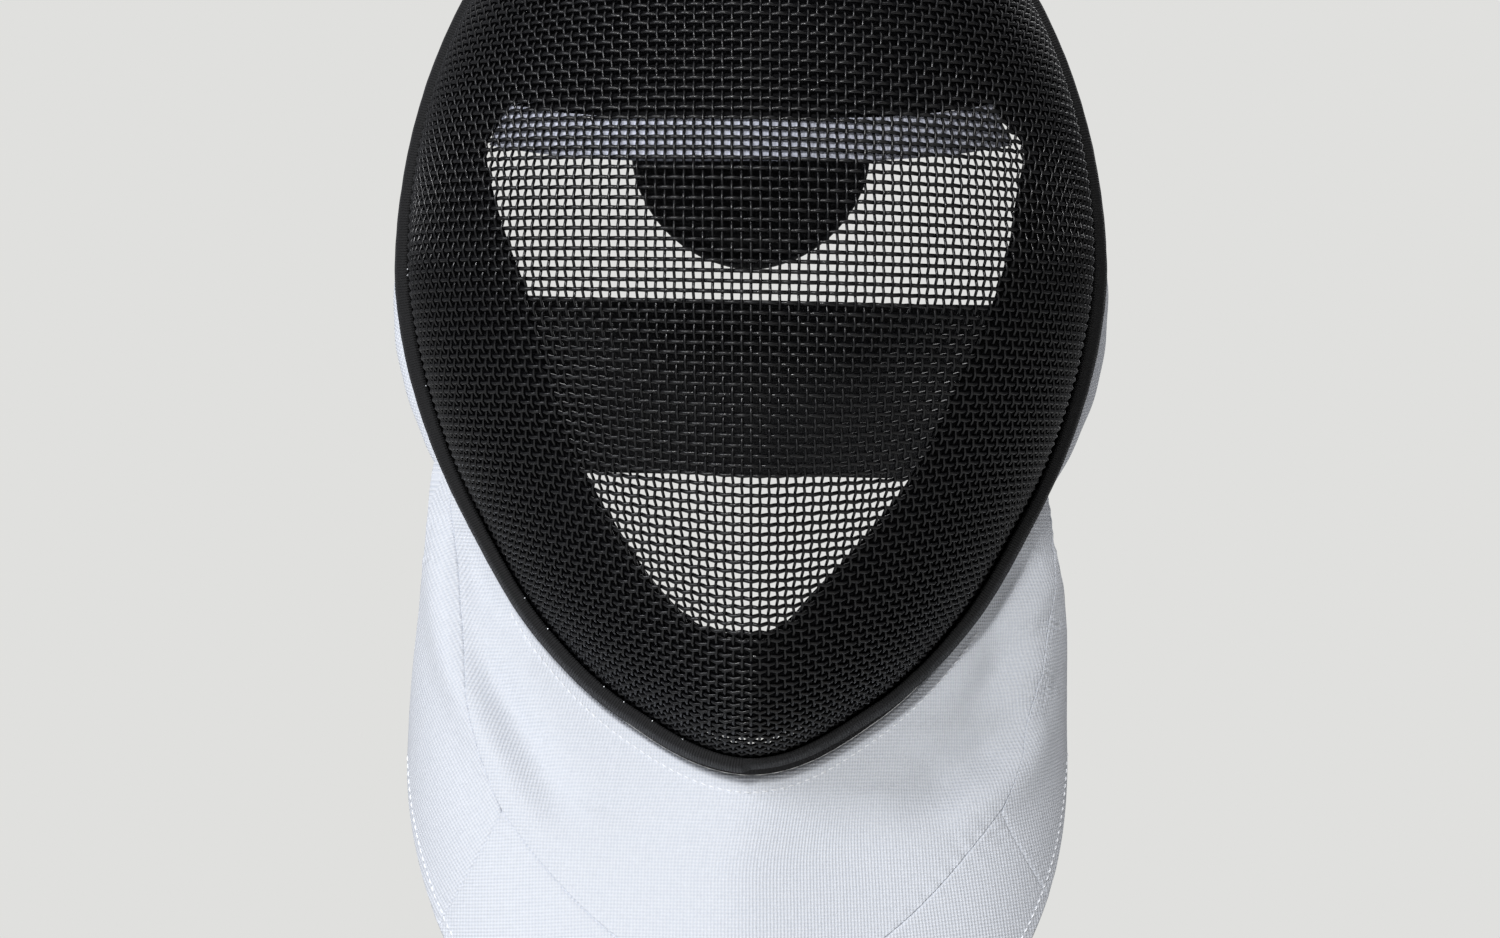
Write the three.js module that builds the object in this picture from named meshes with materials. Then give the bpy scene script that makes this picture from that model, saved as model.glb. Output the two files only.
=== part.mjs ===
// A fencing mask: a woven steel cage with a padded lining, a bib that guards the throat,
// and a sprung tongue and a wide elastic strap that hold it on the head.
// Millimetres. +X is the wearer's left, +Y goes back through the head, +Z is up.
// Every piece is drawn from the foremost point of the cage, called the nose point,
// and the whole mask is then placed with the crown of the wearer's head at the origin.
import * as THREE from 'three';

const RIGHT_ANGLE = Math.PI / 2;
const FULL_TURN = Math.PI * 2;
const DEGREE = Math.PI / 180;

// Where the crown of the head sits, seen from the nose point.
const SEAT = { back: 120, up: 142 };

// The cage: a rounded wall bowed out to the front, with straight sides behind the bow.
const CAGE = {
  halfWidth: 109,
  up: 146,
  thickness: 2,
  bow: { side: 84, crown: 36 },
  bowFullness: 2.2,
  flare: { start: 40, slope: 0.0005 },
};

// The jaw: the wall's radius and the depth of the bow below ear level, every 15 degrees
// from just above the ear, down to the chin and just past it.
const JAW_STEP = 15 * DEGREE;
const JAW = [
  { radius: 110.6, bow: 86.4 },
  { radius: 109, bow: 84 },
  { radius: 109, bow: 90 },
  { radius: 112.2, bow: 106 },
  { radius: 119.5, bow: 122 },
  { radius: 133.3, bow: 122 },
  { radius: 147.5, bow: 110 },
  { radius: 158, bow: 92 },
  { radius: 147.5, bow: 110 },
];

// The keel down the middle of the cage: gentle at the forehead, sharper at the mouth.
const KEEL = { forehead: 0.07, mouth: 0.13, change: -50, blend: 18, reach: 45, round: 2 };

// The rear edge of the cage, as depth behind the nose point.
const RIM = { chin: 90, jaw: 26, jawReach: 0.2, ear: 34, earSweep: 2.4, crown: 8 };

// Divisions shared by all the pieces that follow the cage, so that their flats lie parallel.
const AROUND = 60;
const CAGE_STEPS = 15;
const LINING_STEPS = 6;

// The lining: its outside stands off the wire, and it thins toward both edges.
const LINING = { standOff: 2.9, middle: 9, edge: 3, rearStop: 10.5 };

// The lining's opening in front of the face, from the brow down, as seen from the front.
const FACE_OPENING = [
  { up: 40.5, right: -40, left: 40 },
  { up: 45, right: -76, left: 78 },
  { up: 36, right: -88, left: 91.5 },
  { up: 20, right: -84.5, left: 87.5 },
  { up: 5, right: -79.5, left: 85 },
  { up: -15, right: -72, left: 79.5 },
  { up: -45, right: -64, left: 66 },
  { up: -70, right: -56, left: 55 },
  { up: -90, right: -44.5, left: 40 },
  { up: -108, right: -32, left: 23 },
  { up: -120, right: -18, left: 11 },
];

// The band sewn along the brow edge of the lining.
const BROW = {
  halfWidth: 79.5,
  lower: 28.4,
  lowerRise: 5.2,
  upper: 39.2,
  upperRise: 2.8,
  standOff: 2.9,
  thickness: 2.2,
};

// The U-shaped piping: along is the way past the rim, out is off the cage's outer face.
const PIPING = [
  { along: -9, out: 0.6 },
  { along: -8.7, out: 2.8 },
  { along: -6.5, out: 4.0 },
  { along: 1.2, out: 4.3 },
  { along: 3.0, out: 2.6 },
  { along: 3.4, out: -0.6 },
  { along: 3.0, out: -3.0 },
  { along: 1.2, out: -4.1 },
  { along: -8.6, out: -3.8 },
  { along: -9, out: -2.6 },
  { along: 0.5, out: -2.6 },
  { along: 0.5, out: 0.6 },
];

// The share by which the piping is flatter outside at the chin, and fuller at the ears.
const PIPING_OUTSIDE = {
  chinSlim: 0.3,
  chinSpread: 28 * DEGREE,
  earFull: 0.3,
  ear: -12 * DEGREE,
  earSpread: 30 * DEGREE,
};

// The bib, cut as a shield. Reach is how far its top edge runs up the rim on each side.
const BIB = {
  reach: 54 * DEGREE,
  halfWidth: 112,
  front: 78,
  wrap: 82,
  corner: -165,
  drop: 120,
  belly: 3,
  shift: { sideways: -4.4, reach: 0.3 },
  thickness: 3,
  top: { along: 6.5, out: 0.9 },
  chinTop: { along: 0.9, out: 3.6, spread: 28 * DEGREE },
  seamGap: 0.4,
};

// The bib's seams as seen from the front. Each side seam runs down to a fork, where one
// branch goes out to the hem and the other dips below the front panel.
const SEAM = { fork: { out: 82, up: -180 }, spread: 18, fade: 35, branch: 0.58, dip: 56 };

// The black tape, from its sewn edge beside the piping almost to the bib.
const TAPE = { thickness: 1.2, along: 3.9, out: 0.3, gap: 1.3, ends: 50 * DEGREE };

// Each ear tab: a puffed leaf of cloth, flush and narrow at its two ends.
const TAB = {
  top: 5 * DEGREE,
  bottom: -33 * DEGREE,
  flush: 0.9,
  bulge: 8.2,
  rise: 2.2,
  back: 22,
  endShare: 0.35,
  endTrim: 0.04,
  fullness: 0.6,
  thickness: 2.2,
};

// The strap runs from inside the lining's rear edge on one side to the other.
const STRAP = {
  upper: -10.5,
  lower: -69.5,
  back: 197,
  thickness: 2,
  fullness: 2.4,
  inset: 5,
  overlap: 7,
  lean: 0.021,
  spread: 1.15,
};

// The tongue: root is its width at the crown as a share of the full width.
const TONGUE = { halfWidth: 42, thickness: 5, curve: 106, root: 0.72, rootLength: 0.2, crowding: 1.3 };

// The middle line of the tongue, from the crown rim down behind the head.
const TONGUE_LINE = [
  { back: 149, up: 145.6 },
  { back: 162, up: 145.4 },
  { back: 178, up: 138 },
  { back: 190, up: 118 },
  { back: 197, up: 90 },
  { back: 198, up: 60 },
  { back: 194, up: 30 },
  { back: 188, up: 2 },
];

const wire = new THREE.MeshStandardMaterial({ color: 0x17191c, roughness: 0.45, metalness: 0.6 });
const piping = new THREE.MeshStandardMaterial({ color: 0x101114, roughness: 0.4, metalness: 0 });
const blackCloth = new THREE.MeshStandardMaterial({ color: 0x16171a, roughness: 0.9, metalness: 0 });
const whiteCloth = new THREE.MeshStandardMaterial({ color: 0xe4e9f2, roughness: 0.85, metalness: 0 });
const browCloth = new THREE.MeshStandardMaterial({ color: 0xb4b8cc, roughness: 0.8, metalness: 0 });

function power(value, exponent) {
  return Math.sign(value) * Math.pow(Math.abs(value), exponent);
}

function hill(value, width) {
  return Math.exp(-((value / width) ** 2));
}

// ---- closed meshes ----

function solid(points, faces) {
  const geometry = new THREE.BufferGeometry();
  const positions = points.flatMap((point) => [point.x, point.y, point.z]);
  let volume = 0;
  for (const [a, b, c] of faces) {
    volume += points[a].dot(new THREE.Vector3().crossVectors(points[b], points[c]));
  }
  const turned = volume < 0 ? faces.map(([a, b, c]) => [a, c, b]) : faces;
  geometry.setAttribute('position', new THREE.Float32BufferAttribute(positions, 3));
  geometry.setIndex(turned.flat());
  geometry.computeVertexNormals();
  return geometry;
}

function quad(a, b, c, d) {
  return [[a, b, c], [a, c, d]];
}

// A ring: closed loops of points, one after another, all the way round.
function ringSolid(loops) {
  const size = loops[0].length;
  const faces = [];
  for (let i = 0; i < loops.length; i += 1) {
    const next = (i + 1) % loops.length;
    for (let j = 0; j < size; j += 1) {
      const after = (j + 1) % size;
      faces.push(...quad(i * size + j, next * size + j, next * size + after, i * size + after));
    }
  }
  return solid(loops.flat(), faces);
}

// A bowl: chains of points that run from an outer pole, over the lip, to an inner pole.
function bowlSolid(outerPole, chains, innerPole) {
  const size = chains[0].length;
  const outer = chains.length * size;
  const inner = outer + 1;
  const faces = [];
  for (let i = 0; i < chains.length; i += 1) {
    const next = (i + 1) % chains.length;
    faces.push([outer, next * size, i * size]);
    faces.push([inner, i * size + size - 1, next * size + size - 1]);
    for (let j = 0; j < size - 1; j += 1) {
      faces.push(...quad(i * size + j, next * size + j, next * size + j + 1, i * size + j + 1));
    }
  }
  return solid([...chains.flat(), outerPole, innerPole], faces);
}

// A slab: an outer grid of points and the inner grid behind it, closed along the edges.
function slabSolid(outer, inner) {
  const rows = outer.length;
  const columns = outer[0].length;
  const count = rows * columns;
  const at = (i, j) => i * columns + j;
  const faces = [];
  for (let i = 0; i < rows - 1; i += 1) {
    for (let j = 0; j < columns - 1; j += 1) {
      const corners = [at(i, j), at(i + 1, j), at(i + 1, j + 1), at(i, j + 1)];
      faces.push(...quad(...corners));
      faces.push(...quad(...corners.reverse().map((corner) => count + corner)));
    }
  }
  const rim = [];
  for (let j = 0; j < columns - 1; j += 1) rim.push(at(0, j));
  for (let i = 0; i < rows - 1; i += 1) rim.push(at(i, columns - 1));
  for (let j = columns - 1; j > 0; j -= 1) rim.push(at(rows - 1, j));
  for (let i = rows - 1; i > 0; i -= 1) rim.push(at(i, 0));
  for (let k = 0; k < rim.length; k += 1) {
    const a = rim[k];
    const b = rim[(k + 1) % rim.length];
    faces.push(...quad(a, b, count + b, count + a));
  }
  return solid([...outer.flat(), ...inner.flat()], faces);
}

// ---- the cage's outer face ----

// A smooth curve through one column of the jaw's table.
function jawValue(column, drop) {
  const place = Math.min(drop / JAW_STEP, JAW.length - 2 - 1e-6) + 1;
  const row = Math.min(Math.floor(place), JAW.length - 3);
  const share = place - row;
  const [a, b, c, d] = [-1, 0, 1, 2].map((k) => (JAW[row + k] ?? JAW[JAW.length - 1])[column]);
  const bend = 3 * (b - c) + d - a;
  return b + 0.5 * share * (c - a + share * (2 * a - 5 * b + 4 * c - d + share * bend));
}

function belowEar(angle) {
  return Math.atan2(-Math.sin(angle), Math.abs(Math.cos(angle)));
}

function wallRadius(angle) {
  const drop = belowEar(angle);
  if (drop > 0) return jawValue('radius', drop);
  return 1 / Math.hypot(Math.cos(angle) / CAGE.halfWidth, Math.sin(angle) / CAGE.up);
}

function bowDepth(angle) {
  const drop = belowEar(angle);
  if (drop > 0) return jawValue('bow', drop);
  return CAGE.bow.side + CAGE.bow.crown * Math.sin(angle) ** 2;
}

function keelDepth(x, z) {
  const slope = KEEL.forehead + KEEL.mouth / (1 + Math.exp((z - KEEL.change) / KEEL.blend));
  const rise = (across) => KEEL.reach * (1 - Math.exp(-across / KEEL.reach));
  return slope * (rise(Math.hypot(x, KEEL.round)) - rise(KEEL.round));
}

// Travel is 0 at the nose point and 1 where the bow ends, and grows by 1 for each 100 mm behind that.
function cagePoint(angle, travel) {
  const bow = bowDepth(angle);
  const turn = Math.min(travel, 1) * RIGHT_ANGLE;
  const depth = bow * (1 - Math.cos(turn)) + Math.max(travel - 1, 0) * 100;
  const flare = 1 + CAGE.flare.slope * Math.max(0, depth - CAGE.flare.start);
  const radius = wallRadius(angle) * flare * Math.sin(turn) ** (2 / CAGE.bowFullness);
  const x = radius * Math.cos(angle);
  const z = radius * Math.sin(angle);
  return new THREE.Vector3(x, depth + keelDepth(x, z), z);
}

function rimDepth(angle) {
  const height = wallRadius(angle) * Math.sin(angle);
  const share = 1 + Math.min(height, 0) / JAW[JAW.length - 2].radius;
  const jaw = RIM.jaw * (1 - Math.exp(-share / RIM.jawReach));
  const ear = RIM.ear * THREE.MathUtils.smoothstep(share, 0, 1) ** RIM.earSweep;
  const crown = RIM.crown * (Math.max(height, 0) / CAGE.up) ** 2;
  return RIM.chin + jaw + ear + crown;
}

function rimTravel(angle) {
  const bow = bowDepth(angle);
  const depth = rimDepth(angle);
  if (depth > bow) return 1 + (depth - bow) / 100;
  return Math.acos(1 - depth / bow) / RIGHT_ANGLE;
}

function cageNormal(angle, travel) {
  const small = 0.002;
  const place = Math.max(travel, 0.01);
  const along = cagePoint(angle, place + small).sub(cagePoint(angle, place - small));
  const around = cagePoint(angle + small, place).sub(cagePoint(angle - small, place));
  return along.cross(around).normalize();
}

// A place on the cage: back is how far before the rim along the cage, out is off its outer face.
function byRim(angle, back, out) {
  const rim = rimTravel(angle);
  const step = 0.005;
  const edge = cagePoint(angle, rim);
  if (back <= 0) {
    const heading = edge.clone().sub(cagePoint(angle, rim - step)).normalize();
    return edge.addScaledVector(heading, -back).addScaledVector(cageNormal(angle, rim), out);
  }
  let travel = rim;
  let left = back;
  let here = edge;
  for (;;) {
    const next = cagePoint(angle, travel - step);
    const length = here.distanceTo(next);
    if (length >= left) {
      travel -= step * (left / length);
      break;
    }
    left -= length;
    travel -= step;
    here = next;
  }
  return cagePoint(angle, travel).addScaledVector(cageNormal(angle, travel), out);
}

function anglesAround() {
  return Array.from({ length: AROUND }, (_, i) => (i / AROUND) * FULL_TURN - RIGHT_ANGLE);
}

// ---- cage, piping and lining ----

function wireCage() {
  const noseIn = new THREE.Vector3(0, CAGE.thickness, 0);
  const chains = anglesAround().map((angle) => {
    const stations = Array.from({ length: CAGE_STEPS }, (_, j) => ((j + 1) / CAGE_STEPS) * rimTravel(angle));
    const outer = stations.map((travel) => cagePoint(angle, travel));
    const inner = stations.map((travel) => {
      return cagePoint(angle, travel).addScaledVector(cageNormal(angle, travel), -CAGE.thickness);
    });
    return [...outer, ...inner.reverse()];
  });
  return bowlSolid(new THREE.Vector3(0, 0, 0), chains, noseIn);
}

function edgeBinding() {
  return ringSolid(anglesAround().map((angle) => {
    const chin = PIPING_OUTSIDE.chinSlim * hill(angle + RIGHT_ANGLE, PIPING_OUTSIDE.chinSpread);
    const pastEar = -belowEar(angle) - PIPING_OUTSIDE.ear;
    const ear = PIPING_OUTSIDE.earFull * hill(pastEar, PIPING_OUTSIDE.earSpread);
    return PIPING.map(({ along, out }) => byRim(angle, -along, out > 1 ? out * (1 - chin + ear) : out));
  }));
}

function faceOutline() {
  const down = FACE_OPENING.map(({ up, left }) => new THREE.Vector3(left, 0, up));
  const upAgain = FACE_OPENING.map(({ up, right }) => new THREE.Vector3(right, 0, up)).reverse();
  return new THREE.CatmullRomCurve3([...down, ...upAgain], true, 'centripetal').getPoints(240);
}

// How far from the middle the face opening reaches, for a direction.
function openingRadius(outline, angle) {
  const heading = new THREE.Vector2(Math.cos(angle), Math.sin(angle));
  let reach = 0;
  for (let k = 0; k < outline.length - 1; k += 1) {
    const a = new THREE.Vector2(outline[k].x, outline[k].z);
    const b = new THREE.Vector2(outline[k + 1].x, outline[k + 1].z);
    const first = heading.cross(a);
    const second = heading.cross(b);
    if (first * second > 0 || first === second) continue;
    const point = a.lerp(b, first / (first - second));
    reach = Math.max(reach, point.dot(heading));
  }
  return reach;
}

function travelAtRadius(angle, radius) {
  let low = 0;
  let high = 1;
  for (let k = 0; k < 30; k += 1) {
    const middle = (low + high) / 2;
    const point = cagePoint(angle, middle);
    if (Math.hypot(point.x, point.z) < radius) low = middle;
    else high = middle;
  }
  return low;
}

function travelBeforeRim(angle, back) {
  const rim = rimTravel(angle);
  const length = cagePoint(angle, rim).distanceTo(cagePoint(angle, rim - 0.05));
  return rim - (0.05 * back) / length;
}

function liningPad() {
  const outline = faceOutline();
  const loops = anglesAround().map((angle) => {
    const start = travelAtRadius(angle, openingRadius(outline, angle));
    const end = travelBeforeRim(angle, LINING.rearStop);
    const outer = [];
    const inner = [];
    for (let j = 0; j <= LINING_STEPS; j += 1) {
      const share = j / LINING_STEPS;
      const travel = start + (end - start) * share;
      const fill = Math.sqrt(Math.sin(Math.PI * share));
      const depth = LINING.edge + (LINING.middle - LINING.edge) * fill;
      const normal = cageNormal(angle, travel);
      outer.push(cagePoint(angle, travel).addScaledVector(normal, -LINING.standOff));
      inner.push(cagePoint(angle, travel).addScaledVector(normal, -LINING.standOff - depth));
    }
    return [...outer, ...inner.reverse()];
  });
  return ringSolid(loops);
}

// ---- the brow band ----

function cageAt(x, z) {
  const angle = Math.atan2(z, x);
  return { angle, travel: travelAtRadius(angle, Math.hypot(x, z)) };
}

function foreheadBand() {
  const outer = [];
  const inner = [];
  for (let i = 0; i <= 24; i += 1) {
    const across = i / 12 - 1;
    const lower = BROW.lower + BROW.lowerRise * across ** 2;
    const upper = BROW.upper + BROW.upperRise * across ** 4;
    const outerRow = [];
    const innerRow = [];
    for (let j = 0; j <= 3; j += 1) {
      const { angle, travel } = cageAt(BROW.halfWidth * across, lower + ((upper - lower) * j) / 3);
      const normal = cageNormal(angle, travel);
      outerRow.push(cagePoint(angle, travel).addScaledVector(normal, -BROW.standOff));
      innerRow.push(cagePoint(angle, travel).addScaledVector(normal, -BROW.standOff - BROW.thickness));
    }
    outer.push(outerRow);
    inner.push(innerRow);
  }
  return slabSolid(outer, inner);
}

// ---- the bib ----

function bibTopPlace(angle) {
  const chin = hill(angle + RIGHT_ANGLE, BIB.chinTop.spread);
  return { along: BIB.top.along + BIB.chinTop.along * chin, out: BIB.top.out + BIB.chinTop.out * chin };
}

function bibTop(angle) {
  const { along, out } = bibTopPlace(angle);
  return byRim(angle, -along, out);
}

function bibPoint(across, down) {
  const turn = across * RIGHT_ANGLE;
  const top = bibTop(BIB.reach * across - RIGHT_ANGLE);
  const hem = new THREE.Vector3(
    BIB.halfWidth * Math.sin(turn),
    BIB.front + BIB.wrap * (1 - Math.cos(turn)),
    BIB.corner - BIB.drop * Math.cos(turn),
  );
  const belly = BIB.belly * Math.sin(Math.PI * Math.min(Math.max(down, 0), 1));
  const point = top.lerp(hem, down);
  const shift = BIB.shift.sideways * THREE.MathUtils.smoothstep(down, 0, BIB.shift.reach);
  point.x += belly * Math.sin(turn) + shift;
  point.y -= belly * Math.cos(turn);
  return point;
}

function bibNormal(across, down) {
  const small = 0.004;
  const sideways = bibPoint(across + small, down).sub(bibPoint(across - small, down));
  const downward = bibPoint(across, down + small).sub(bibPoint(across, down - small));
  return downward.cross(sideways).normalize();
}

// The share where a rising function of it crosses zero.
function crossing(low, high, height) {
  let [start, end] = [low, high];
  for (let k = 0; k < 24; k += 1) {
    const middle = (start + end) / 2;
    if (height(middle) < 0) start = middle;
    else end = middle;
  }
  return (start + end) / 2;
}

function seamOut(up) {
  const above = up - SEAM.fork.up;
  if (above < 0) return SEAM.fork.out - SEAM.branch * above;
  return SEAM.fork.out + SEAM.spread * (1 - Math.exp(-above / SEAM.fade));
}

function seamAcross(side, down) {
  const across = crossing(0.2, 0.99, (share) => {
    const point = bibPoint(side * share, down);
    return side * point.x - seamOut(point.z);
  });
  return side * across;
}

function forkDown(side) {
  return crossing(0.2, 0.9, (down) => SEAM.fork.up - bibPoint(seamAcross(side, down), down).z);
}

function dipDown(across) {
  return crossing(0.2, 0.9, (down) => {
    const point = bibPoint(across, down);
    return SEAM.fork.up - SEAM.dip * (1 - (point.x / SEAM.fork.out) ** 2) - point.z;
  });
}

const FORKS = [-1, 1].map((side) => {
  const down = forkDown(side);
  return { side, down, across: seamAcross(side, down) };
});

// A place between the two side seams, for a share from the left fork to the right one.
function betweenSeams(share, heights) {
  const [left, right] = FORKS.map(({ side }, k) => seamAcross(side, heights[k]));
  return left + (right - left) * share;
}

function bibPanel(columns, rows, place) {
  const outer = [];
  const inner = [];
  for (let i = 0; i <= columns; i += 1) {
    const outerRow = [];
    const innerRow = [];
    for (let j = 0; j <= rows; j += 1) {
      const { across, down } = place(i / columns, j / rows);
      const point = bibPoint(across, down);
      outerRow.push(point);
      innerRow.push(point.clone().addScaledVector(bibNormal(across, down), -BIB.thickness));
    }
    outer.push(outerRow);
    inner.push(innerRow);
  }
  return slabSolid(outer, inner);
}

const HALF_GAP_ACROSS = BIB.seamGap / (2 * BIB.halfWidth);
const HALF_GAP_DOWN = BIB.seamGap / (2 * BIB.drop);

function frontPanel() {
  return bibPanel(20, 10, (i, j) => {
    const [left, right] = FORKS;
    const bottom = dipDown(left.across + (right.across - left.across) * i) - HALF_GAP_DOWN;
    const share = i + (1 - 2 * i) * HALF_GAP_ACROSS;
    return { across: betweenSeams(share, FORKS.map(({ down }) => down * j)), down: bottom * j };
  });
}

function apron() {
  return bibPanel(24, 5, (i, j) => {
    const [left, right] = FORKS;
    const top = dipDown(left.across + (right.across - left.across) * i) + HALF_GAP_DOWN;
    const share = i + (1 - 2 * i) * 2 * HALF_GAP_ACROSS;
    const heights = FORKS.map(({ down }) => down + (1 - down) * j);
    return { across: betweenSeams(share, heights), down: top + (1 - top) * j };
  });
}

function sidePanel(side) {
  return bibPanel(5, 16, (i, j) => {
    const inside = Math.abs(seamAcross(side, j)) + 2 * HALF_GAP_ACROSS;
    return { across: side * (inside + (1 - inside) * i), down: j };
  });
}

// The black tape between the piping and the bib, widest under the chin.
function bibTopTape() {
  const outer = [];
  const inner = [];
  const steps = 32;
  for (let i = 0; i <= steps; i += 1) {
    const angle = TAPE.ends * ((2 * i) / steps - 1) - RIGHT_ANGLE;
    const end = bibTopPlace(angle);
    const length = Math.hypot(end.along - TAPE.along, end.out - TAPE.out);
    const slant = { along: (end.along - TAPE.along) / length, out: (end.out - TAPE.out) / length };
    const edges = [0, length - TAPE.gap].map((way) => {
      return { along: TAPE.along + slant.along * way, out: TAPE.out + slant.out * way };
    });
    outer.push(edges.map(({ along, out }) => byRim(angle, -along, out)));
    inner.push(edges.map(({ along, out }) => {
      return byRim(angle, -along - slant.out * TAPE.thickness, out - slant.along * TAPE.thickness);
    }));
  }
  return slabSolid(outer, inner);
}

// ---- tabs, strap and tongue ----

// The ear tab's section: share runs from its sewn edge by the piping to its free edge behind.
function tabPlace(share, fill) {
  const puff = Math.sin(RIGHT_ANGLE * Math.min(1, share * TAB.rise)) * fill;
  const length = (TAB.back - BIB.top.along) * (TAB.endShare + (1 - TAB.endShare) * fill);
  return { along: BIB.top.along + length * share, out: TAB.flush + (TAB.bulge - TAB.flush) * puff };
}

function earTab(side) {
  const outer = [];
  const inner = [];
  for (let i = 0; i <= 14; i += 1) {
    const share = i / 14;
    const angle = TAB.top + (TAB.bottom - TAB.top) * share;
    const mirrored = side > 0 ? angle : Math.PI - angle;
    const fill = Math.sin(Math.PI * (TAB.endTrim + (1 - 2 * TAB.endTrim) * share)) ** TAB.fullness;
    const places = Array.from({ length: 7 }, (_, j) => tabPlace(j / 6, fill));
    outer.push(places.map(({ along, out }) => byRim(mirrored, -along, out)));
    inner.push(places.map(({ along, out }) => byRim(mirrored, -along, out - TAB.thickness)));
  }
  return slabSolid(outer, inner);
}

function strapPoint(share, height, inset) {
  const angle = -Math.asin(Math.min(1, -height / CAGE.halfWidth / STRAP.spread));
  const start = byRim(angle, STRAP.overlap, -inset);
  const turn = share * Math.PI;
  const x = start.x * power(Math.cos(turn), 2 / STRAP.fullness);
  const deep = STRAP.back - start.y + STRAP.inset - inset;
  const y = start.y + deep * power(Math.sin(turn), 2 / STRAP.fullness);
  return new THREE.Vector3(x, y, start.z - STRAP.lean * x);
}

function backStrap() {
  const outer = [];
  const inner = [];
  const upper = STRAP.upper;
  for (let i = 0; i <= 36; i += 1) {
    const heights = Array.from({ length: 5 }, (_, j) => upper + ((STRAP.lower - upper) * j) / 4);
    outer.push(heights.map((height) => strapPoint(i / 36, height, STRAP.inset)));
    inner.push(heights.map((height) => strapPoint(i / 36, height, STRAP.inset + STRAP.thickness)));
  }
  return slabSolid(outer, inner);
}

function tongueHalfWidth(line, share) {
  const point = line.getPointAt(share);
  const end = line.getPointAt(1).z;
  const below = THREE.MathUtils.clamp((TONGUE.halfWidth + end - point.z) / TONGUE.halfWidth, 0, 0.998);
  const root = TONGUE.root + (1 - TONGUE.root) * THREE.MathUtils.smoothstep(share, 0, TONGUE.rootLength);
  return TONGUE.halfWidth * root * Math.sqrt(1 - below ** 2);
}

function tongue() {
  const line = new THREE.CatmullRomCurve3(TONGUE_LINE.map(({ back, up }) => new THREE.Vector3(0, back, up)));
  const outer = [];
  const inner = [];
  const steps = 26;
  for (let i = 0; i <= steps; i += 1) {
    const share = 1 - (1 - i / steps) ** TONGUE.crowding;
    const middle = line.getPointAt(share);
    const heading = line.getTangentAt(share);
    const facing = new THREE.Vector3(0, -heading.z, heading.y);
    const half = tongueHalfWidth(line, share);
    const row = Array.from({ length: 7 }, (_, j) => {
      const x = half * (j / 3 - 1);
      const point = middle.clone().addScaledVector(facing, -(x ** 2) / (2 * TONGUE.curve));
      return point.setX(x);
    });
    outer.push(row.map((point) => point.clone().addScaledVector(facing, TONGUE.thickness / 2)));
    inner.push(row.map((point) => point.clone().addScaledVector(facing, -TONGUE.thickness / 2)));
  }
  return slabSolid(outer, inner);
}

// ---- the assembly ----

const mask = new THREE.Group();
mask.position.set(0, -SEAT.back, -SEAT.up);

function add(name, geometry, material) {
  const mesh = new THREE.Mesh(geometry, material);
  mesh.name = name;
  mask.add(mesh);
}

add('wire_cage', wireCage(), wire);
add('edge_binding', edgeBinding(), piping);
add('lining_pad', liningPad(), blackCloth);
add('forehead_band', foreheadBand(), browCloth);
add('bib_front_panel', frontPanel(), whiteCloth);
add('bib_left_panel', sidePanel(1), whiteCloth);
add('bib_right_panel', sidePanel(-1), whiteCloth);
add('bib_apron', apron(), whiteCloth);
add('bib_top_tape', bibTopTape(), blackCloth);
add('left_tab', earTab(1), whiteCloth);
add('right_tab', earTab(-1), whiteCloth);
add('back_strap', backStrap(), blackCloth);
add('tongue', tongue(), blackCloth);

export default mask;
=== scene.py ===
# %% [markdown]
# # A fencing mask
# The mask is a dome of woven steel wire. A black piping wraps its cut edge, a padded lining
# sits inside it, a white bib hangs below the chin, and a sprung tongue and a wide elastic
# strap hold it on the head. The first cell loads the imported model, which fixes every size.
# Lengths below are in millimetres until a piece is placed, because that is how they are cut.

# %% Load the frame
import math
import bpy
import numpy as np
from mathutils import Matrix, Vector


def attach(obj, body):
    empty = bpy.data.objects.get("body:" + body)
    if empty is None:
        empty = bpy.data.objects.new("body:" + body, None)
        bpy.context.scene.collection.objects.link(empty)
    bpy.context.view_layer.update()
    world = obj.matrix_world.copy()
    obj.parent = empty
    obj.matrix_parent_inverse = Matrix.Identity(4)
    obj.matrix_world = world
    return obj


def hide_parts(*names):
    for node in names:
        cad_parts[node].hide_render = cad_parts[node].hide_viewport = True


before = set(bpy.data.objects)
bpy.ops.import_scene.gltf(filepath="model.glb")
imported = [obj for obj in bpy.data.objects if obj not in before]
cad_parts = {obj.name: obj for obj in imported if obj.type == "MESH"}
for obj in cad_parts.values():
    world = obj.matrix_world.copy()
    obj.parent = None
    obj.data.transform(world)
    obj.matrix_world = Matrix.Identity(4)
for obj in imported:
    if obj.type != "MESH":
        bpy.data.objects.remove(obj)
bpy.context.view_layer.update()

RIGHT_ANGLE = math.pi / 2
DEGREE = math.pi / 180

# %% [markdown]
# ## The camera and the light
# A mask like this is usually shown from straight ahead with a long lens, so that the dome
# isn't stretched. Blender can aim a camera with a constraint, but a level camera needs only
# a quarter turn about X. The soft key light stands at the left and a weak one fills the right.

# %% Camera
NOSE = np.array([0.0, -120.0, -142.0])  # the foremost point of the cage, from the crown
CAMERA = {"distance": 1500, "rise": -67.2, "lens": 117.3}
camera = bpy.data.objects.new("camera", bpy.data.cameras.new("camera"))
bpy.context.collection.objects.link(camera)
camera.data.lens = CAMERA["lens"]
camera.data.sensor_width = 36
camera.location = (Vector(NOSE) + Vector((-0.3, -CAMERA["distance"], CAMERA["rise"]))) / 1000
camera.rotation_euler = (RIGHT_ANGLE, 0, 0)
bpy.context.scene.camera = camera
bpy.context.scene.view_settings.view_transform = "Standard"
print("camera at", tuple(round(x, 3) for x in camera.location))


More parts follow.
